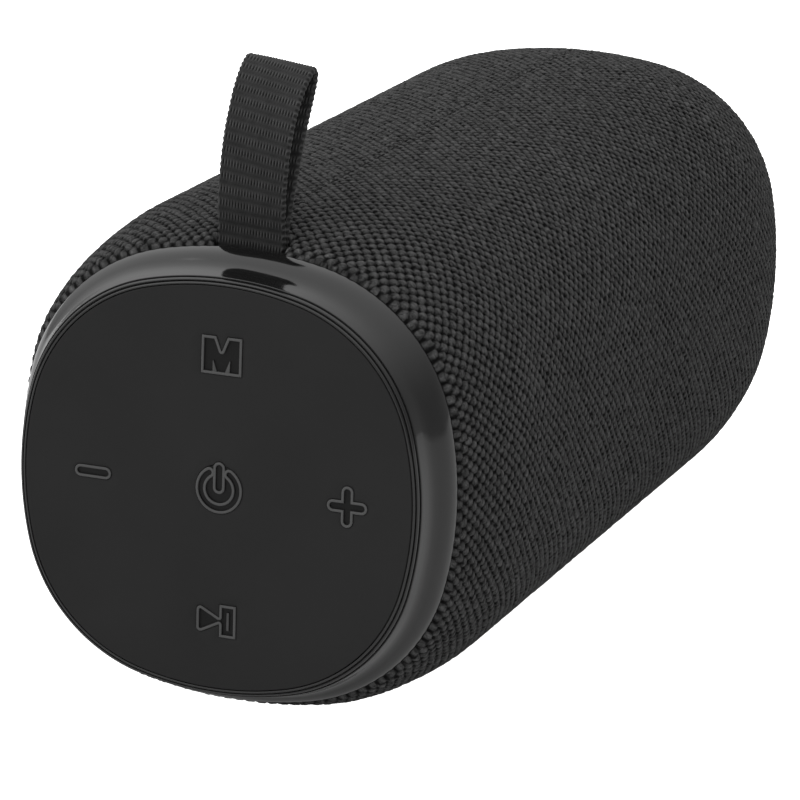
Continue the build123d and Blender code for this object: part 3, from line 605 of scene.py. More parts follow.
def sleeve():
    rows, cols = CELLS_ALONG * FINE + 1, CELLS_ROUND * FINE
    y = np.linspace(-RING_EDGE_Y, RING_EDGE_Y, rows)
    u = np.arange(cols) / cols
    U, Y = np.meshgrid(u, y)
    # the courses wander a little, as a stretched knit does
    wander_u = noise_field(U.shape, (18, 22), 11) * 0.16 / CELLS_ROUND
    wander_y = noise_field(U.shape, (22, 16), 12) * 0.16 / ROWS_PER_MM
    p = (Y + RING_EDGE_Y + wander_y) * ROWS_PER_MM
    q = (U + wander_u) * CELLS_ROUND
    h = pebbles(p, q)
    relief = np.clip(h * (1 + noise_field(U.shape, (CELLS_ALONG * 2, CELLS_ROUND * 2), 13) * 0.13), 0, 1)
    # seam along the top: a shallow furrow with the loops pulled in; the lowered relief also paints shade into the
    # furrow
    top = U - np.round(U)
    length = 268.0
    d = np.abs((top - seam_u(Y)) * length)
    seam_from = 1 / (1 + np.exp(-(Y + 81.0) * 3.0))
    furrow = np.exp(-((d / 0.34) ** 2)) * seam_from
    relief = relief * (1 - 0.30 * furrow)
    height = (relief - 0.70) * 0.60 - 0.10 * furrow
    # rolled in at each ring
    edge = np.clip((RING_EDGE_Y - np.abs(Y)) / 0.9, 0, 1)
    tuck = -(1 - np.sqrt(1 - (1 - edge) ** 2)) * 0.75
    off = height * np.clip(edge * 1.2, 0.25, 1) + tuck - 0.04
    half = half_at(Y)
    X, Z, NX, NZ = section(half, BARREL, U, off)
    # the flat that it rests on
    low = -AXIS
    soft = 0.25
    under = low + soft
    Z = np.where(Z < under, low + soft * np.exp((Z - under) / soft), Z)
    Z = np.maximum(Z, low)
    # edges of the strap slit and the port opening are pulled inwards
    inside = lambda v, a, b: np.minimum(v - a, b - v)
    slit = np.minimum(inside(X, STRAP_X0 - 0.35, STRAP_X1 + 0.35), inside(Y, -90.0, -81.35))
    slit = np.where(Z > 0, slit, -9)
    port_d = rounded_box(Y - PORT_Y, Z, PORT_HALF_Y - 0.05, PORT_HALF_Z - 0.05, 2.95)
    port = np.where(X < 0, -port_d, -9)
    hole = np.maximum(slit, port)
    dip = np.exp(-np.clip(-hole, 0, None) / 0.35) * 0.55
    X, Z = X - NX * dip, Z - NZ * dip
    P = np.stack([X.ravel(), Y.ravel(), Z.ravel()], 1)
    faces = grid(rows, cols, wrap=True)
    corner_q, corner_p = q.ravel()[faces], p.ravel()[faces]
    seam_quads = corner_q.max(1) - corner_q.min(1) > CELLS_ROUND / 2
    low_q = seam_quads[:, None] & (corner_q < CELLS_ROUND / 2)
    corner_q = np.where(low_q, corner_q + CELLS_ROUND, corner_q)
    uv = np.stack([corner_q, corner_p], -1).reshape(-1, 2)
    # drop the faces inside the openings
    P, keep = cut_openings(P, hole.ravel(), faces)
    uv = uv.reshape(-1, 4, 2)[keep].reshape(-1, 2)
    faces = faces[keep]
    rel = relief.ravel()
    # the cut edges and both ends turn down through the cloth's thickness
    P, faces, uv, rel = hem(P, faces, uv, rel)
    ob = make_mesh("knit_sleeve", P, faces, "casing", uv, True, MATS["knit_fabric"], {"relief": rel})
    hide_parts("fabric_sleeve")
    return ob


def rounded_box(a, b, ha, hb, r):
    """Signed distance to a rounded rectangle, negative inside."""
    qa, qb = np.abs(a) - (ha - r), np.abs(b) - (hb - r)
    return np.hypot(np.maximum(qa, 0), np.maximum(qb, 0)) + np.minimum(np.maximum(qa, qb), 0) - r


def cut_openings(P, hole, faces):
    """Faces with two or more corners inside an opening go; the points stay where they are."""
    inside = hole > 0
    n_in = inside[faces].sum(1)
    keep = n_in < 2
    used = np.zeros(len(P), bool)
    used[faces[keep].ravel()] = True
    P = P.copy()
    return P, keep


def hem(P, faces, uv, rel):
    """Adds a strip inwards along every open edge, so the cloth shows its thickness there."""
    e = np.stack([faces, np.roll(faces, -1, 1)], -1).reshape(-1, 2)
    key = np.sort(e, 1)
    code = key[:, 0].astype(np.int64) * (len(P) + 1) + key[:, 1]
    uniq, index, count = np.unique(code, return_index=True, return_counts=True)
    rim = e[index[count == 1]]
    rim_uv = uv[index[count == 1]]
    ring = np.unique(rim)
    new = np.full(len(P), -1)
    new[ring] = len(P) + np.arange(len(ring))
    Q = P[ring].copy()
    r = np.hypot(Q[:, 0], Q[:, 2])
    Q[:, 0] -= Q[:, 0] / r * 1.0
    Q[:, 2] -= Q[:, 2] / r * 1.0
    Q[:, 1] -= np.sign(Q[:, 1]) * np.where(np.abs(Q[:, 1]) > RING_EDGE_Y - 0.02, 0.02, 0)
    side = np.stack([rim[:, 1], rim[:, 0], new[rim[:, 0]], new[rim[:, 1]]], 1)
    side_uv = np.stack([rim_uv, rim_uv, rim_uv, rim_uv], 1).reshape(-1, 2)
    # the strip's points get a relief of 0.2, which paints shade on it in the knit material
    return (
        np.concatenate([P, Q]),
        np.concatenate([faces, side]),
        np.concatenate([uv, side_uv]),
        np.concatenate([rel, np.zeros(len(ring)) + 0.2]),
    )


def seam_u(y):
    """The seam runs along the top and drifts a little towards +X near the strap."""
    return 0.0003 + 0.0052 * np.clip((5.0 - np.asarray(y, float)) / 35.0, 0, 1)


sleeve_ob = sleeve()


def seam_stitches():
    """Overlock thread along the seam: short slanting stitches lying in the furrow."""
    pts, faces, uvs = [], [], []
    start = 0
    ring_n, along_n = 8, 9
    ys = np.arange(-79.6, 84.0, 1.72)
    rng = np.random.default_rng(5)
    for i, yc in enumerate(ys):
        lean = 0.30 + rng.uniform(-0.04, 0.04)
        t = np.linspace(-1, 1, along_n)
        yy = yc + t * 0.5
        uu = seam_u(yy) + (t * lean * 0.5) / 268.0
        base = -0.26 + 0.16 * np.cos(t * math.pi / 2)
        x, z, nx, nz = section(half_at(yy), BARREL, uu, base)
        mid = np.stack([x, yy, z], 1)
        nrm = np.stack([nx, np.zeros_like(nx), nz], 1)
        tan = np.gradient(mid, axis=0)
        tan /= np.linalg.norm(tan, axis=1)[:, None]
        side = np.cross(tan, nrm)
        rad = 0.14 * np.sqrt(np.clip(1 - (t * 0.96) ** 4, 0.02, 1))
        a = np.linspace(0, 2 * math.pi, ring_n, endpoint=False)
        ringp = mid[:, None] + rad[:, None, None] * (np.cos(a)[None, :, None] * side[:, None] + np.sin(a)[None, :, None] * nrm[:, None])
        pts.append(ringp.reshape(-1, 3))
        faces.append(grid(along_n, ring_n, True, start))
        uvs.append(ring_uv(t * 2 + i, a / (2 * math.pi)))
        start += along_n * ring_n
    P, F = np.concatenate(pts), np.concatenate(faces)
    ob = make_mesh("seam_thread", P, F, "casing", np.concatenate(uvs), True, MATS["seam_thread"])
    return ob


def material_thread():
    m = Nodes("polyester_thread")
    uv = m.uv()
    wave = m.new("ShaderNodeTexWave")
    m.put(wave.inputs["Vector"], m.scaled(uv, (4.0, 3.0, 1.0)))
    wave.inputs["Scale"].default_value = 1.0
    wave.inputs["Distortion"].default_value = 0.6
    tw = wave.outputs["Fac"]
    m.set(
        Base_Color=m.mix(tw, rgb(0.004), rgb(0.014)),
        Roughness=m.span(tw, 0, 1, 0.55, 0.75),
        Specular_IOR_Level=0.25,
        Normal=m.bump(tw, 0.5, 0.00005),
    )
    return m.mat


MATS["seam_thread"] = material_thread()
seam_stitches()


# ------------------------------------------------------------------ end rings
def smooth_profile(points, per=5):
    """A Catmull-Rom line through (y, half, family share) points; a repeated point keeps a corner."""
    p = np.array(points, float)
    out = []
    for i in range(len(p) - 1):
        a, b = p[i], p[i + 1]
        if np.allclose(a, b):
            continue
        before = p[i - 1] if i > 0 and not np.allclose(p[i - 1], a) else a
        after = p[i + 2] if i + 2 < len(p) and not np.allclose(p[i + 2], b) else b
        t = np.linspace(0, 1, per, endpoint=False)[:, None]
        out.append(
            0.5 * ((2 * a) + (b - before) * t + (2 * before - 5 * a + 4 * b - after) * t**2 + (3 * a - before - 3 * b + after) * t**3)
        )
    out.append(p[-1:])
    return np.concatenate(out)


# y, half-width, and how far the section has gone from the panel's shape (0) to the barrel's (1)
RING_PROFILE = [
    (-88.6, 31.95, 0), (-90.6, 31.95, 0), (-93.7, 31.95, 0), (-93.98, 31.97, 0), (-94.07, 32.03, 0), (-94.08, 32.12, 0),
    (-94.02, 32.24, 0), (-93.86, 32.34, 0.02), (-93.66, 32.40, 0.04), (-93.62, 32.44, 0.05), (-93.70, 32.48, 0.06),
    (-93.80, 32.55, 0.08), (-93.80, 32.66, 0.1), (-93.68, 32.78, 0.1), (-93.46, 32.85, 0.12), (-93.20, 32.88, 0.12),
    (-93.10, 32.92, 0.13), (-93.15, 32.98, 0.14), (-93.20, 33.05, 0.15), (-93.10, 33.13, 0.16), (-92.8, 33.20, 0.18),
    (-92.0, 33.35, 0.25), (-91.0, 33.57, 0.3), (-90.1, 33.88, 0.34), (-89.3, 34.33, 0.36), (-88.6, 34.85, 0.38),
    (-87.9, 35.32, 0.38), (-87.2, 35.67, 0.38), (-86.5, 35.90, 0.38), (-85.9, 36.02, 0.38), (-85.5, 36.03, 0.38),
    (-85.22, 35.93, 0.38), (-85.06, 35.72, 0.38), (-85.02, 35.3, 0.38), (-85.02, 34.5, 0.38),
]


def end_ring(name, node, sign):
    prof = smooth_profile(RING_PROFILE, 4)
    cols = 360
    u = np.arange(cols) / cols
    ys, halves, share = prof[:, 0], prof[:, 1], np.clip(prof[:, 2], 0, 1)
    xa, za, _, _ = section(halves[:, None], FACE, u[None, :])
    xb, zb, _, _ = section(halves[:, None], BARREL, u[None, :])
    s = share[:, None]
    x, z = xa * (1 - s) + xb * s, za * (1 - s) + zb * s
    P = np.stack([x, np.broadcast_to(ys[:, None], x.shape) * (-sign), z], -1).reshape(-1, 3)
    run = np.concatenate([[0], np.cumsum(np.hypot(np.diff(ys), np.diff(halves)))])
    F = grid(len(prof), cols, True, 0, sign > 0)
    uv = ring_uv(run / 30.0, u, sign > 0)
    ob = make_mesh(name, P, F, "casing", uv, True, MATS["trim_gloss"])
    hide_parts(node)
    return ob


end_ring("front_ring", "front_trim_ring", -1)
end_ring("rear_ring", "rear_trim_ring", 1)


# ------------------------------------------------------------------ turned soft rings
def soft_ring(name, node, profile, axis, centre_y, cols=120):
    """A turned soft part: profile is a closed loop of (height, radius), turned round the given axis."""
    prof = np.asarray(profile, float)
    n = len(prof)
    a = np.linspace(0, 2 * math.pi, cols, endpoint=False)[None, :]
    h, r = prof[:, 0][:, None], prof[:, 1][:, None]
    level_h, ca, sa = np.broadcast_to(h, (n, cols)), r * np.cos(a), r * np.sin(a)
    P = np.stack([level_h, centre_y + ca, sa] if axis == "x" else [sa, level_h, ca], -1).reshape(-1, 3)
    i, c = np.arange(n)[:, None], np.arange(cols)[None, :]
    i2, c2 = (i + 1) % n, (c + 1) % cols
    F = np.stack([i * cols + c, i * cols + c2, i2 * cols + c2, i2 * cols + c], -1).reshape(-1, 4)
    A, B, C, D = (P[F[:, k]] for k in range(4))
    volume = (np.einsum("ij,ij->i", A, np.cross(B, C)) + np.einsum("ij,ij->i", A, np.cross(C, D))).sum()
    if volume < 0:
        F = F[:, ::-1]
    ob = make_mesh(name, P, F, None, None, True, MATS[slot_of[node]])
    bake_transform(ob)
    ob.data.update()
    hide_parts(node)
    return ob


def half_roll(base, r0, r1, rise, t, flange_in, flange_out, n=28):
    """Closed loop of a half-roll surround with a rolled-over edge to each flange."""
    a = np.pi * np.arange(n + 1) / n
    mid, half = (r0 + r1) / 2, (r1 - r0) / 2
    low = np.stack([base + (rise - t) * np.sin(a), mid - (half - t * 0.5) * np.cos(a)], 1)
    high = np.stack([base + t + (rise - t) * np.sin(a), mid - half * np.cos(a)], 1)
    e = t * 0.3
    inner = np.array([(base + t, flange_in + e), (base + t - e, flange_in), (base + e, flange_in), (base, flange_in + e)])
    outer = np.array([(base, flange_out - e), (base + e, flange_out), (base + t - e, flange_out), (base + t, flange_out - e)])
    steps = np.linspace(0, 1, 4)[1:-1, None]

    def walk(p, q):
        return p + (q - p) * steps

    return np.concatenate([inner, walk(inner[-1], low[0]), low, walk(low[-1], outer[0]), outer, walk(outer[-1], high[-1]), high[::-1], walk(high[0], inner[0])])


def corrugated(h, t, r_in, r_out, waves, swing, n=90):
    """Closed loop of a thin corrugated disc with flat glue bands at both edges."""
    r = np.linspace(r_in, r_out, n)
    s = np.clip((r - r_in - 1.1) / (r_out - r_in - 2.2), 0, 1)
    y = h + swing * np.sin(2 * math.pi * waves * s)
    return np.concatenate([np.stack([y - t / 2, r], 1), np.stack([y + t / 2, r], 1)[::-1]])


for side, y_at in (("left", -38.0), ("right", 26.0)):
    soft_ring(side + "_roll", side + "_driver_surround", half_roll(28.62, 20.9, 22.6, 2.0, 0.45, 19.6, 23.4),
              "x", y_at)
    soft_ring(side + "_corrugation", side + "_driver_spider", corrugated(18.2, 0.3, 9.0, 16.4, 4, 0.22),
              "x", y_at)
soft_ring("radiator_roll", "radiator_surround", half_roll(88.45, 20.2, 26.0, 3.0, 0.6, 18.2, 28.6),
          "y", 0.0, 180)


# ------------------------------------------------------------------ flat shapes
def arc(cx, cy, r, a0, a1, n):
    """Points of an arc, degrees, both ends included."""
    a = np.radians(np.linspace(a0, a1, n))
    return np.stack([cx + r * np.cos(a), cy + r * np.sin(a)], 1)


def inside_poly(p, poly):
    x, y = p[:, 0], p[:, 1]
    x0, y0 = poly[:, 0], poly[:, 1]
    x1, y1 = np.roll(x0, -1), np.roll(y0, -1)
    hit = np.zeros(len(p), bool)
    for a, b, c, d in zip(x0, y0, x1, y1):
        cross = (b > y) != (d > y)
        xi = a + (y - b) * (c - a) / (d - b if d != b else 1e-12)
        hit ^= cross & (x < xi)
    return hit


def fill(outer, holes=(), step=None):
    """Triangles of a flat region with holes, with inner points on a lattice step apart."""
    loops = [outer, *holes]
    pts = [Vector((float(a), float(b))) for l in loops for a, b in l]
    edges, n = [], 0
    for l in loops:
        edges += [(n + i, n + (i + 1) % len(l)) for i in range(len(l))]
        n += len(l)
    if step:
        lo, hi = outer.min(0), outer.max(0)
        gx, gy = np.meshgrid(np.arange(lo[0], hi[0], step), np.arange(lo[1], hi[1], step * 0.866))
        gx = gx + (np.arange(gx.shape[0]) % 2)[:, None] * step / 2
        g = np.stack([gx.ravel(), gy.ravel()], 1)
        ok = inside_poly(g, outer)
        for h in holes:
            ok &= ~inside_poly(g, h)
        near = np.concatenate(loops)
        g = g[ok]
        if len(g):
            dist = np.sqrt(((g[:, None] - near[None]) ** 2).sum(-1)).min(1)
            g = g[dist > step * 0.45]
        pts += [Vector((float(a), float(b))) for a, b in g]
    verts, _, tris, _, _, _ = delaunay_2d_cdt(pts, edges, [], 0, 1e-6)
    V = np.array([[v.x, v.y] for v in verts])
    T = np.array([t for t in tris if len(t) == 3])
    c = V[T].mean(1)
    ok = inside_poly(c, outer)
    for h in holes:
        ok &= ~inside_poly(c, h)
    T = T[ok]
    area = np.cross(V[T[:, 1]] - V[T[:, 0]], V[T[:, 2]] - V[T[:, 0]])
    T[area < 0] = T[area < 0][:, ::-1]
    return V, T[np.abs(area) > 1e-9]


def dense(loop, step):
    """The closed line again with a point at least every step."""
    out = []
    for a, b in zip(loop, np.roll(loop, -1, 0)):
        n = max(1, int(math.ceil(np.hypot(*(b - a)) / step)))
        out += [a + (b - a) * i / n for i in range(n)]
    return np.array(out)


def tidy(loop):
    """Without points that repeat the one before."""
    keep = np.hypot(*(loop - np.roll(loop, 1, 0)).T) > 1e-4
    return loop[keep]


def ccw(loop):
    x, y = loop[:, 0], loop[:, 1]
    return loop if (x * np.roll(y, -1) - np.roll(x, -1) * y).sum() > 0 else loop[::-1]


def rounded(corners, radii, n=7):
    """A closed line round the corners, each turned through an arc of its radius."""
    c = np.array(corners, float)
    radii = [radii] * len(c) if np.isscalar(radii) else radii
    out = []
    for i, r in enumerate(radii):
        p, a, b = c[i], c[i - 1], c[(i + 1) % len(c)]
        d0, d1 = (a - p) / np.hypot(*(a - p)), (b - p) / np.hypot(*(b - p))
        half = math.acos(np.clip((d0 * d1).sum(), -1, 1)) / 2
        if r < 1e-6:
            out.append(p[None])
            continue
        run = r / math.tan(half)
        centre = p + (d0 + d1) / np.hypot(*(d0 + d1)) * (r / math.sin(half))
        s, e = p + d0 * run - centre, p + d1 * run - centre
        a0, a1 = math.atan2(s[1], s[0]), math.atan2(e[1], e[0])
        da = (a1 - a0 + math.pi) % (2 * math.pi) - math.pi
        t = a0 + da * np.linspace(0, 1, n)
        out.append(centre + r * np.stack([np.cos(t), np.sin(t)], 1))
    return tidy(np.concatenate(out))


def slot_loop(w, h, cx=0.0, cy=0.0, n=12):
    """A slot with round ends, along x if w > h."""
    r = min(w, h) / 2
    if w >= h:
        l = np.concatenate([arc(w / 2 - r, 0, r, -90, 90, n), arc(-w / 2 + r, 0, r, 90, 270, n)])
    else:
        l = np.concatenate([arc(0, h / 2 - r, r, 0, 180, n), arc(0, -h / 2 + r, r, 180, 360, n)])
    return tidy(l + (cx, cy))


def shifted(loop, d):
    """The closed, counter-clockwise line moved outwards by d, with mitred corners."""
    a, b = np.roll(loop, 1, 0), np.roll(loop, -1, 0)
    e0, e1 = loop - a, b - loop
    e0 /= np.hypot(*e0.T)[:, None]
    e1 /= np.hypot(*e1.T)[:, None]
    n0, n1 = np.stack([e0[:, 1], -e0[:, 0]], 1), np.stack([e1[:, 1], -e1[:, 0]], 1)
    m = n0 + n1
    m /= np.maximum((m * n0).sum(1), 0.25)[:, None]
    return loop + m * d


# outlines of the keys (x, z), as in the CAD: the plate of each key, and the lines raised on it
def plus_loop():
    w, l = 1.0, 3.3
    out = []
    for k in range(4):
        a = math.radians(90 * k)
        rot = np.array([[math.cos(a), math.sin(a)], [-math.sin(a), math.cos(a)]])
        arm = np.concatenate([arc(l - w, 0, w, -90, 90, 12), np.array([[w, w]])])
        out.append(arm @ rot)
    return tidy(np.concatenate(out))


def power_plate():
    """Circle with the bar's round top standing out of it."""
    r, top_c, rb = 3.87, 1.8 + 2.55 - 1.0, 1.0
    # the two circles cross at this height
    zc = (r * r - rb * rb + top_c * top_c) / (2 * top_c)
    xc = math.sqrt(r * r - zc * zc)
    a = math.degrees(math.atan2(zc, xc))
    b = math.degrees(math.atan2(zc - top_c, xc))
    return tidy(np.concatenate([arc(0, 0, r, 180 - a, 360 + a, 64), arc(0, top_c, rb, b, 180 - b, 16)]))


def power_ring():
    """The broken ring's own outline: outer and inner arcs joined by round ends."""
    cy, ro, ri = 0.0, 3.87, 2.12
    rm, re = (ro + ri) / 2, (ro - ri) / 2
    gap = 33.0
    a0, a1 = 90 + gap, 450 - gap
    c0 = (rm * math.cos(math.radians(a0)), cy + rm * math.sin(math.radians(a0)))
    c1 = (rm * math.cos(math.radians(a1)), cy + rm * math.sin(math.radians(a1)))
    return tidy(np.concatenate([
        arc(0, cy, ro, a0, a1, 56),
        arc(c1[0], c1[1], re, a1, a1 + 180, 12),
        arc(0, cy, ri, a1, a0, 44),
        arc(c0[0], c0[1], re, a0 + 180, a0 + 360, 12),
    ]))


def mode_loop():
    w, h = 3.35, 3.0
    return rounded([(-w, -h), (w, -h), (w, h), (0.92, h), (0, 0.67), (-0.92, h), (-w, h)], [0.12, 0.12, 0.12, 0.08, 0.05, 0.08, 0.12], 4)


def play_loop():
    # triangle with its point running into an upright bar
    t = (2.55 - 0.35) / (0.9 + 3.3)
    y_at = 2.55 - (0.5 + 3.3) * t
    return rounded(
        [(-3.3, -2.55), (0.5, -y_at), (0.5, -2.65), (3.3, -2.65), (3.3, 2.65), (0.5, 2.65), (0.5, y_at), (-3.3, 2.55)],
        [0.7, 0.04, 0.1, 0.1, 0.1, 0.1, 0.04, 0.7], 6,
    )


KEYS = {
    "power": ((KEY_X, KEY_Z), power_plate(), [power_ring(), slot_loop(2.0, 5.1, 0, 1.8)]),
    "mode": ((KEY_X - 0.1, KEY_Z + KEY_PITCH), mode_loop(), [mode_loop()]),
    "minus": ((KEY_X - KEY_PITCH, KEY_Z), slot_loop(6.2, 2.0), [slot_loop(6.2, 2.0)]),
    "plus": ((KEY_X + KEY_PITCH - 0.1, KEY_Z), plus_loop(), [plus_loop()]),
    "play": ((KEY_X, KEY_Z - KEY_PITCH), play_loop(), [play_loop()]),
}
WEDGES = {
    "mode": [((-1.44, -0.55), (-1.44, -2.62), (-0.70, -2.62)), ((1.44, -0.40), (0.58, -2.62), (1.38, -2.62))],
    "play": [((1.72, 1.45), (1.72, -1.45), (2.12, -1.45), (2.12, 1.45))],
}
RECESS = 0.16      # the keys' faces lie this far under the panel's
RIDGE_W, RIDGE_H = 0.48, 0.17
CROWN = 0.30       # the silicone face stands this much proud in the middle


def crown(x, z):
    return CROWN * np.clip(1 - (x * x + z * z) / 31.4**2, 0, 1)


def ridge_profile():
    """(outward offset, height, painted light level) across a raised line, from its outer foot to its inner foot."""
    r = RIDGE_W / 2
    out = [(0.0, -RECESS, 0.1), (0.0, 0.02, 0.5)]
    for a in np.linspace(0, 180, 9)[1:-1]:
        lift = math.sin(math.radians(a))
        out.append((-r + (r - 0.02) * math.cos(math.radians(a)), 0.03 + (RIDGE_H - 0.03) * lift**0.6, 0.6 + 0.4 * lift))
    return out + [(-2 * r, 0.0, 0.5), (-2 * r - 0.03, -RECESS, 0.0)]


def build_key(key):
    (kx, kz), plate, lines = KEYS[key]
    # each point gets a painted light level, kept as the relief attribute: 0 paints shade on the recessed face and
    # skirt, 0.5 to 1 paints a highlight on the raised lines and wedges
    pts, faces, painted_light_levels = [], [], []
    n = 0

    def put(loop2, height, tone):
        nonlocal n
        x, z = loop2[:, 0] + kx, loop2[:, 1] + kz
        pts.append(np.stack([x, PANEL_FACE_Y - height - crown(x, z) * (1.0 if height > -1 else 0.0), z], 1))
        painted_light_levels.append(np.full(len(loop2), tone))
        n += len(loop2)
        return n - len(loop2)

    def band(a, b, m):
        i = np.arange(m)
        j = (i + 1) % m
        faces.append(np.stack([a + i, a + j, b + j, b + i], 1))

    plate = ccw(dense(plate, 0.3))
    # skirt from behind the panel up to the recessed face inside the outline
    m = len(plate)
    levels = [(0.0, -(PANEL_BACK_Y - PANEL_FACE_Y) - 0.3), (0.0, -RECESS - 0.04), (-0.02, -RECESS)]
    rings = [put(shifted(plate, d), h, 0.0) for d, h in levels]
    for a, b in zip(rings, rings[1:]):
        band(a, b, m)
    V, T = fill(shifted(plate, -0.02), (), 0.5)
    faces.append(T + put(V, -RECESS, 0.0))
    # closed behind
    V, T = fill(plate, (), None)
    faces.append(T[:, ::-1] + put(V, levels[0][1], 0.0))
    for line in lines:
        line = ccw(dense(line, 0.25))
        m = len(line)
        rings = [put(shifted(line, d - 0.01), h, t) for d, h, t in ridge_profile()]
        for a, b in zip(rings, rings[1:]):
            band(a, b, m)
    # the wedges' tones paint a highlight on their tops
    for poly in WEDGES.get(key, ()):
        loop = ccw(rounded(poly, 0.06, 4))
        m = len(loop)
        rings = [put(shifted(loop, d), h, t) for d, h, t in ((0.03, -RECESS, 0.0), (0.0, 0.03, 0.7), (-0.05, 0.08, 0.8))]
        for a, b in zip(rings, rings[1:]):
            band(a, b, m)
        V, T = fill(shifted(loop, -0.05), (), None)
        faces.append(T + put(V, 0.08, 0.85))
    tris = [f for f in faces if f.shape[1] == 3]
    quads = [f for f in faces if f.shape[1] == 4]
    ob = make_mesh(
        "pad_" + key, np.concatenate(pts), [np.concatenate(quads), np.concatenate(tris)], None, None, True,
        MATS["silicone_key"], {"relief": np.concatenate(painted_light_levels)},
    )
    outward(ob)
    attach(ob, "button_" + key)
    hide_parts("key_" + key)
    return ob


def outward(ob, dist=2e-6):
    """Joins doubled points and turns the faces outwards."""
    bm = bmesh.new()
    bm.from_mesh(ob.data)
    bmesh.ops.remove_doubles(bm, verts=bm.verts, dist=dist)
    bmesh.ops.recalc_face_normals(bm, faces=bm.faces)
    bm.to_mesh(ob.data)
    bm.free()


MATS["silicone_key"] = material_silicone("matt_silicone_key", rgb(0.0095), rgb(0.0125), 0.22, (0.5, 0.62), True)
for key in KEYS:
    build_key(key)


def build_panel():
    """The silicone face: flat with a rolled rim, and each key's outline cut out with a small lip."""
    u = np.arange(240) / 240
    x, z, nx, nz = section(PANEL_HALF, FACE, u)
    outer = np.stack([x, z], 1)[::-1]
    nrm = np.stack([nx, nz], 1)[::-1]
    pts, faces, n = [], [], 0

    def put(loop2, y):
        nonlocal n
        pts.append(np.stack([loop2[:, 0], np.broadcast_to(y, (len(loop2),)), loop2[:, 1]], 1))
        n += len(loop2)
        return n - len(loop2)

    def band(a, b, m, flip=False):
        i = np.arange(m)
        j = (i + 1) % m
        q = np.stack([a + i, a + j, b + j, b + i], 1)
        faces.append(q[:, ::-1] if flip else q)

    outer = ccw(outer)
    c = outer.mean(0)
    rim = [(0.0, PANEL_BACK_Y), (0.04, PANEL_FACE_Y + 0.16), (0.02, PANEL_FACE_Y + 0.08), (-0.04, PANEL_FACE_Y + 0.03), (-0.14, PANEL_FACE_Y + 0.005), (-0.26, PANEL_FACE_Y)]
    rings = [put(shifted(outer, d), y) for d, y in rim]
    for a, b in zip(rings, rings[1:]):
        band(a, b, len(outer))
    holes = []
    for key, ((kx, kz), plate, _) in KEYS.items():
        plate = ccw(dense(plate, 0.3))
        holes.append(shifted(plate, KEY_GAP + 0.04) + (kx, kz))
        m = len(plate)
        lip = [(KEY_GAP + 0.04, 0.0), (KEY_GAP + 0.01, 0.015), (KEY_GAP, 0.05), (KEY_GAP, 1.2)]
        rings = []
        for d, depth in lip:
            l = shifted(plate, d) + (kx, kz)
            rings.append(put(l, PANEL_FACE_Y + depth - crown(l[:, 0], l[:, 1])))
        for a, b in zip(rings, rings[1:]):
            band(a, b, m)
    V, T = fill(shifted(outer, -0.26), holes, 1.6)
    faces.append(T + put(V, PANEL_FACE_Y - crown(V[:, 0], V[:, 1])))
    tris = [f for f in faces if f.shape[1] == 3]
    quads = [f for f in faces if f.shape[1] == 4]
    ob = make_mesh("key_membrane", np.concatenate(pts), [np.concatenate(quads), np.concatenate(tris)], None, None, True, MATS["silicone_black"])
    outward(ob)
    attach(ob, "casing")
    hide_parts("control_panel")
    return ob


build_panel()


# ------------------------------------------------------------------ carry strap
LOOP = [
    (-83.62, 28.6), (-83.62, 31.0), (-83.62, 33.5), (-83.62, 36.0), (-83.64, 38.6), (-83.85, 40.4), (-84.0, 42.6), (-83.7, 46.4), (-82.9, 50.4),
    (-81.5, 54.2), (-79.3, 57.7), (-76.4, 60.6), (-73.9, 62.15), (-72.75, 62.35), (-72.0, 61.9), (-72.0, 60.9), (-72.55, 59.6), (-74.0, 57.0), (-76.2, 53.2),
    (-78.2, 49.0), (-79.9, 45.0), (-81.3, 41.2), (-82.1, 39.5), (-82.42, 38.0), (-82.43, 36.0), (-82.43, 33.5), (-82.43, 31.0), (-82.43, 28.6),
]
WEB_T = 1.12


def along(points, step):
    """Evenly spaced points on a smooth line through the given ones, with the run length."""
    fine = smooth_profile([(a, b, 0) for a, b in points], 24)[:, :2]
    run = np.concatenate([[0], np.cumsum(np.hypot(*np.diff(fine, axis=0).T))])
    s = np.arange(0, run[-1], step)
    s = np.append(s, run[-1])
    return np.stack([np.interp(s, run, fine[:, k]) for k in (0, 1)], 1), s


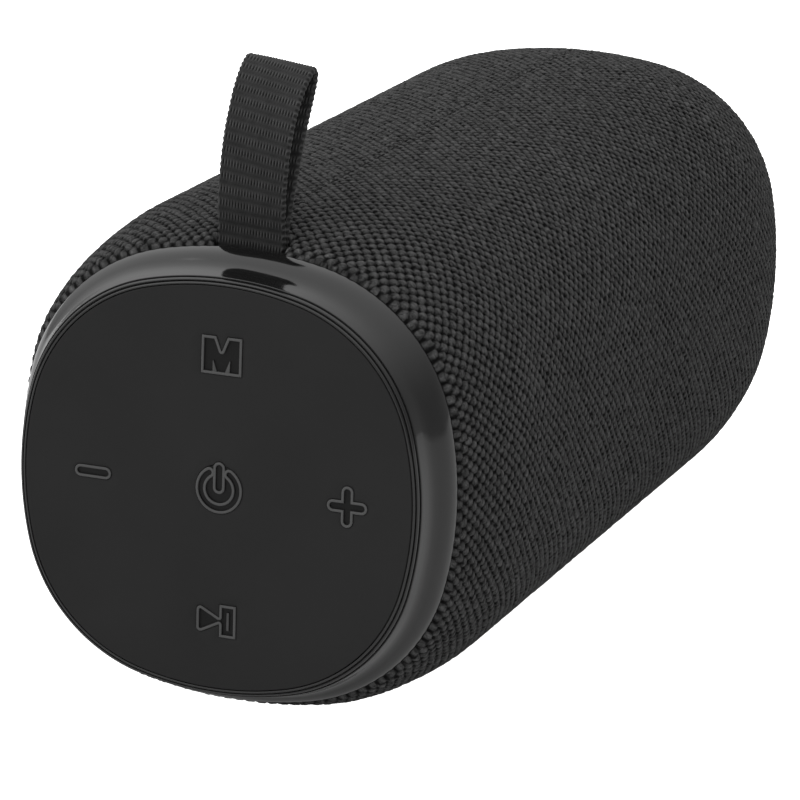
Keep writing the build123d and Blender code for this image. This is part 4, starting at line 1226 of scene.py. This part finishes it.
def strap():
    step = 0.235
    mid, s = along(LOOP, step)
    tan = np.gradient(mid, axis=0)
    tan /= np.hypot(*tan.T)[:, None]
    nrm = np.stack([-tan[:, 1], tan[:, 0]], 1)  # outer side of the loop
    ribs = 21
    per = 6
    width = STRAP_X1 - STRAP_X0
    k = ribs * per
    # across the top face, round one edge, back across the lower face, round the other edge
    c = np.linspace(0, 1, k + 1)
    edge_n = 5
    a = np.linspace(0, math.pi, edge_n + 2)[1:-1]
    across, height, face, rib = [], [], [], []
    for v in c:
        across.append((v - 0.5) * (width - 0.8)); height.append(WEB_T / 2); face.append(1.0); rib.append(v * ribs)
    for t in a:
        across.append((width - 0.8) / 2 + 0.4 * math.sin(t)); height.append(WEB_T / 2 * math.cos(t)); face.append(0.3); rib.append(ribs)
    for v in c[::-1]:
        across.append((v - 0.5) * (width - 0.8)); height.append(-WEB_T / 2); face.append(-1.0); rib.append(v * ribs)
    for t in a:
        across.append(-(width - 0.8) / 2 - 0.4 * math.sin(t)); height.append(-WEB_T / 2 * math.cos(t)); face.append(0.3); rib.append(0.0)
    across, height, face, rib = map(np.array, (across, height, face, rib))
    cols, rows = len(across), len(mid)
    S, R = np.meshgrid(s, rib, indexing="ij")
    A = np.broadcast_to(across, S.shape).copy()
    H = np.broadcast_to(height, S.shape).copy()
    flat = np.broadcast_to(np.abs(face) > 0.5, S.shape)
    pick = 1.93
    phase = S / pick + (0.085 * A) / pick
    near = lambda v: np.abs(v - np.round(v))
    # rows of raised warp ribs with slits between them, and between the rows a lower, faintly slotted band; the relief
    # is the height and also paints shade into the slits and the lower band
    row = 0.5 + 0.5 * np.cos(2 * math.pi * phase)
    rib_a = 0.5 + 0.5 * np.cos(2 * math.pi * R)
    slit_a = np.clip(1 - near(R + 0.5) / 0.27, 0, 1) * np.clip(1.5 - near(phase) / 0.15, 0, 1)
    slit_b = np.clip(1 - near(R) / 0.25, 0, 1) * np.clip(1.3 - near(phase + 0.5) / 0.12, 0, 1) * 0.35
    relief = 0.50 + 0.42 * row * rib_a - 0.08 * (1 - row) - 0.55 * slit_a - 0.4 * slit_b
    relief = np.clip(relief + noise_field(S.shape, (80, 26), 31, False) * 0.06, 0, 1)
    edge_wave = 0.075 * np.cos(2 * math.pi * S / (pick / 2))
    sgn = np.sign(H)
    H = H + np.where(flat, sgn * (relief - 0.6) * 0.34, 0.0)
    A = A + np.sign(A) * np.where(~flat, edge_wave, 0.0)
    # on the rounded edges the relief only sets the colour: painted shade between the picks
    relief = np.where(flat, relief, 0.45 + 0.4 * np.cos(2 * math.pi * S / (pick / 2)))
    X = A + (STRAP_X0 + STRAP_X1) / 2
    Yp = mid[:, 0][:, None] + nrm[:, 0][:, None] * H
    Zp = mid[:, 1][:, None] + nrm[:, 1][:, None] * H
    # the band was sewn in slightly askew, so the loop stands taller on its left edge
    rise = np.clip((Zp - 40.5) / 9.0, 0, 1)
    rise = rise * rise * (3 - 2 * rise)
    top = np.clip((Zp - 56.0) / 6.0, 0, 1)
    Zp = Zp - A * (0.085 + 0.03 * top) * rise + 0.0
    X = X - 0.35 * top * np.clip(-A / 5.5, 0, 1) ** 3
    P = np.stack([X, Yp, Zp], -1).reshape(-1, 3)
    F = grid(rows, cols, True)
    ucol = np.concatenate([np.linspace(0, ribs, k + 1), np.full(edge_n, ribs + 0.5), np.linspace(ribs + 1, 2 * ribs + 1, k + 1), np.full(edge_n, 2 * ribs + 1.5)])
    r_idx = F // cols
    c_idx = F % cols
    nxt = c_idx.copy()
    uu = ucol[c_idx]
    wrapq = (c_idx.max(1) == cols - 1) & (c_idx.min(1) == 0)
    uu[wrapq] = np.where(c_idx[wrapq] == 0, 2 * ribs + 2, uu[wrapq])
    uv = np.stack([uu, s[r_idx] / 0.94], -1).reshape(-1, 2)
    # end caps
    caps, cap_uv = [], []
    for row in (0, rows - 1):
        base = row * cols
        top = np.arange(0, k + 1)
        low = k + 1 + edge_n + np.arange(0, k + 1)[::-1]
        q = np.stack([base + top[:-1], base + top[1:], base + low[1:], base + low[:-1]], 1)
        q = q if row else q[:, ::-1]
        caps.append(q)
        cap_uv.append(np.zeros((len(q) * 4, 2)))
        for side, i0, i1 in ((1, k, k + 1 + edge_n), (0, 2 * k + 1 + edge_n, cols)):
            ring = list(range(i0, i1 + 1)) if side else list(range(i0, cols)) + [0]
            tri = np.array([[base + ring[0], base + ring[j], base + ring[j + 1]] for j in range(1, len(ring) - 1)])
            tri = tri[:, ::-1] if row == 0 else tri
            caps.append(tri)
            cap_uv.append(np.zeros((len(tri) * 3, 2)))
    quads = [F] + [c for c in caps if c.shape[1] == 4]
    tris = [c for c in caps if c.shape[1] == 3]
    uvs = [uv] + [w for w, c in zip(cap_uv, caps) if c.shape[1] == 4] + [w for w, c in zip(cap_uv, caps) if c.shape[1] == 3]
    ob = make_mesh(
        "carry_strap", P, [np.concatenate(quads), np.concatenate(tris)], None, np.concatenate(uvs), True,
        MATS["webbing"], {"relief": relief.ravel()},
    )
    bm = bmesh.new()
    bm.from_mesh(ob.data)
    bmesh.ops.recalc_face_normals(bm, faces=bm.faces)
    bm.to_mesh(ob.data)
    bm.free()
    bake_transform(ob)
    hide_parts("strap_loop", "strap_tail")
    return ob


strap_ob = strap()


# ------------------------------------------------------------------ studio
def area(name, place, target, size, power, size_y=None):
    d = bpy.data.lights.new(name, "AREA")
    d.energy = power
    d.shape = "RECTANGLE"
    d.size, d.size_y = size, size_y or size
    o = bpy.data.objects.new(name, d)
    scene.collection.objects.link(o)
    o.location = place
    o.rotation_mode = "QUATERNION"
    o.rotation_quaternion = (Vector(target) - Vector(place)).to_track_quat("-Z", "Y")
    return o


world = bpy.data.worlds.new("studio")
world.use_nodes = True
wt = world.node_tree
backdrop = wt.nodes["Background"]
backdrop.inputs[0].default_value = (1, 1, 1, 1)
backdrop.inputs[1].default_value = 1.0
fill_light = wt.nodes.new("ShaderNodeBackground")
ray = wt.nodes.new("ShaderNodeTexCoord")
lean = wt.nodes.new("ShaderNodeVectorMath")
lean.operation = "DOT_PRODUCT"
lean.inputs[1].default_value = Vector((-0.22, -0.10, 0.97)).normalized()
wt.links.new(ray.outputs["Generated"], lean.inputs[0])
level = wt.nodes.new("ShaderNodeMapRange")
level.interpolation_type = "SMOOTHSTEP"
for socket, value in zip(level.inputs[1:5], (0.0, 0.95, 0.54, 2.08)):
    socket.default_value = value
wt.links.new(lean.outputs["Value"], level.inputs[0])
wt.links.new(level.outputs[0], fill_light.inputs[1])
seen = wt.nodes.new("ShaderNodeLightPath")
pick_one = wt.nodes.new("ShaderNodeMixShader")
wt.links.new(seen.outputs["Is Camera Ray"], pick_one.inputs[0])
wt.links.new(fill_light.outputs[0], pick_one.inputs[1])
wt.links.new(backdrop.outputs[0], pick_one.inputs[2])
wt.links.new(pick_one.outputs[0], wt.nodes["World Output"].inputs[0])
scene.world = world
scene.view_settings.view_transform = "Standard"
scene.view_settings.look = "None"
centre = (0.0, 0.0, 0.05)
area("key_softbox", (-0.9, -0.9, 1.3), centre, 1.6, 5.0)


def floor():
    m = Nodes("pale_floor")
    p = m.place()
    grain = m.noise(p, 90.0, 4.0)
    seen_floor = m.new("ShaderNodeLightPath").outputs["Is Camera Ray"]
    m.set(
        Base_Color=m.mix(m.span(grain, 0.3, 0.7, 0, 1), rgb(0.60), rgb(0.64)),
        Roughness=m.span(grain, 0.3, 0.7, 0.75, 0.9),
        Specular_IOR_Level=0.1,
        Emission_Color=rgb(1.0),
        Emission_Strength=m.span(seen_floor, 0.0, 1.0, 0.14, 1.30),
    )
    n = 24
    g = np.linspace(-4000, 4000, n)
    X, Y = np.meshgrid(g, g)
    P = np.stack([X.ravel(), Y.ravel(), np.full(X.size, -AXIS - 0.02)], 1)
    ob = make_mesh("floor", P, grid(n, n), None, None, True, m.mat)
    return ob


floor()
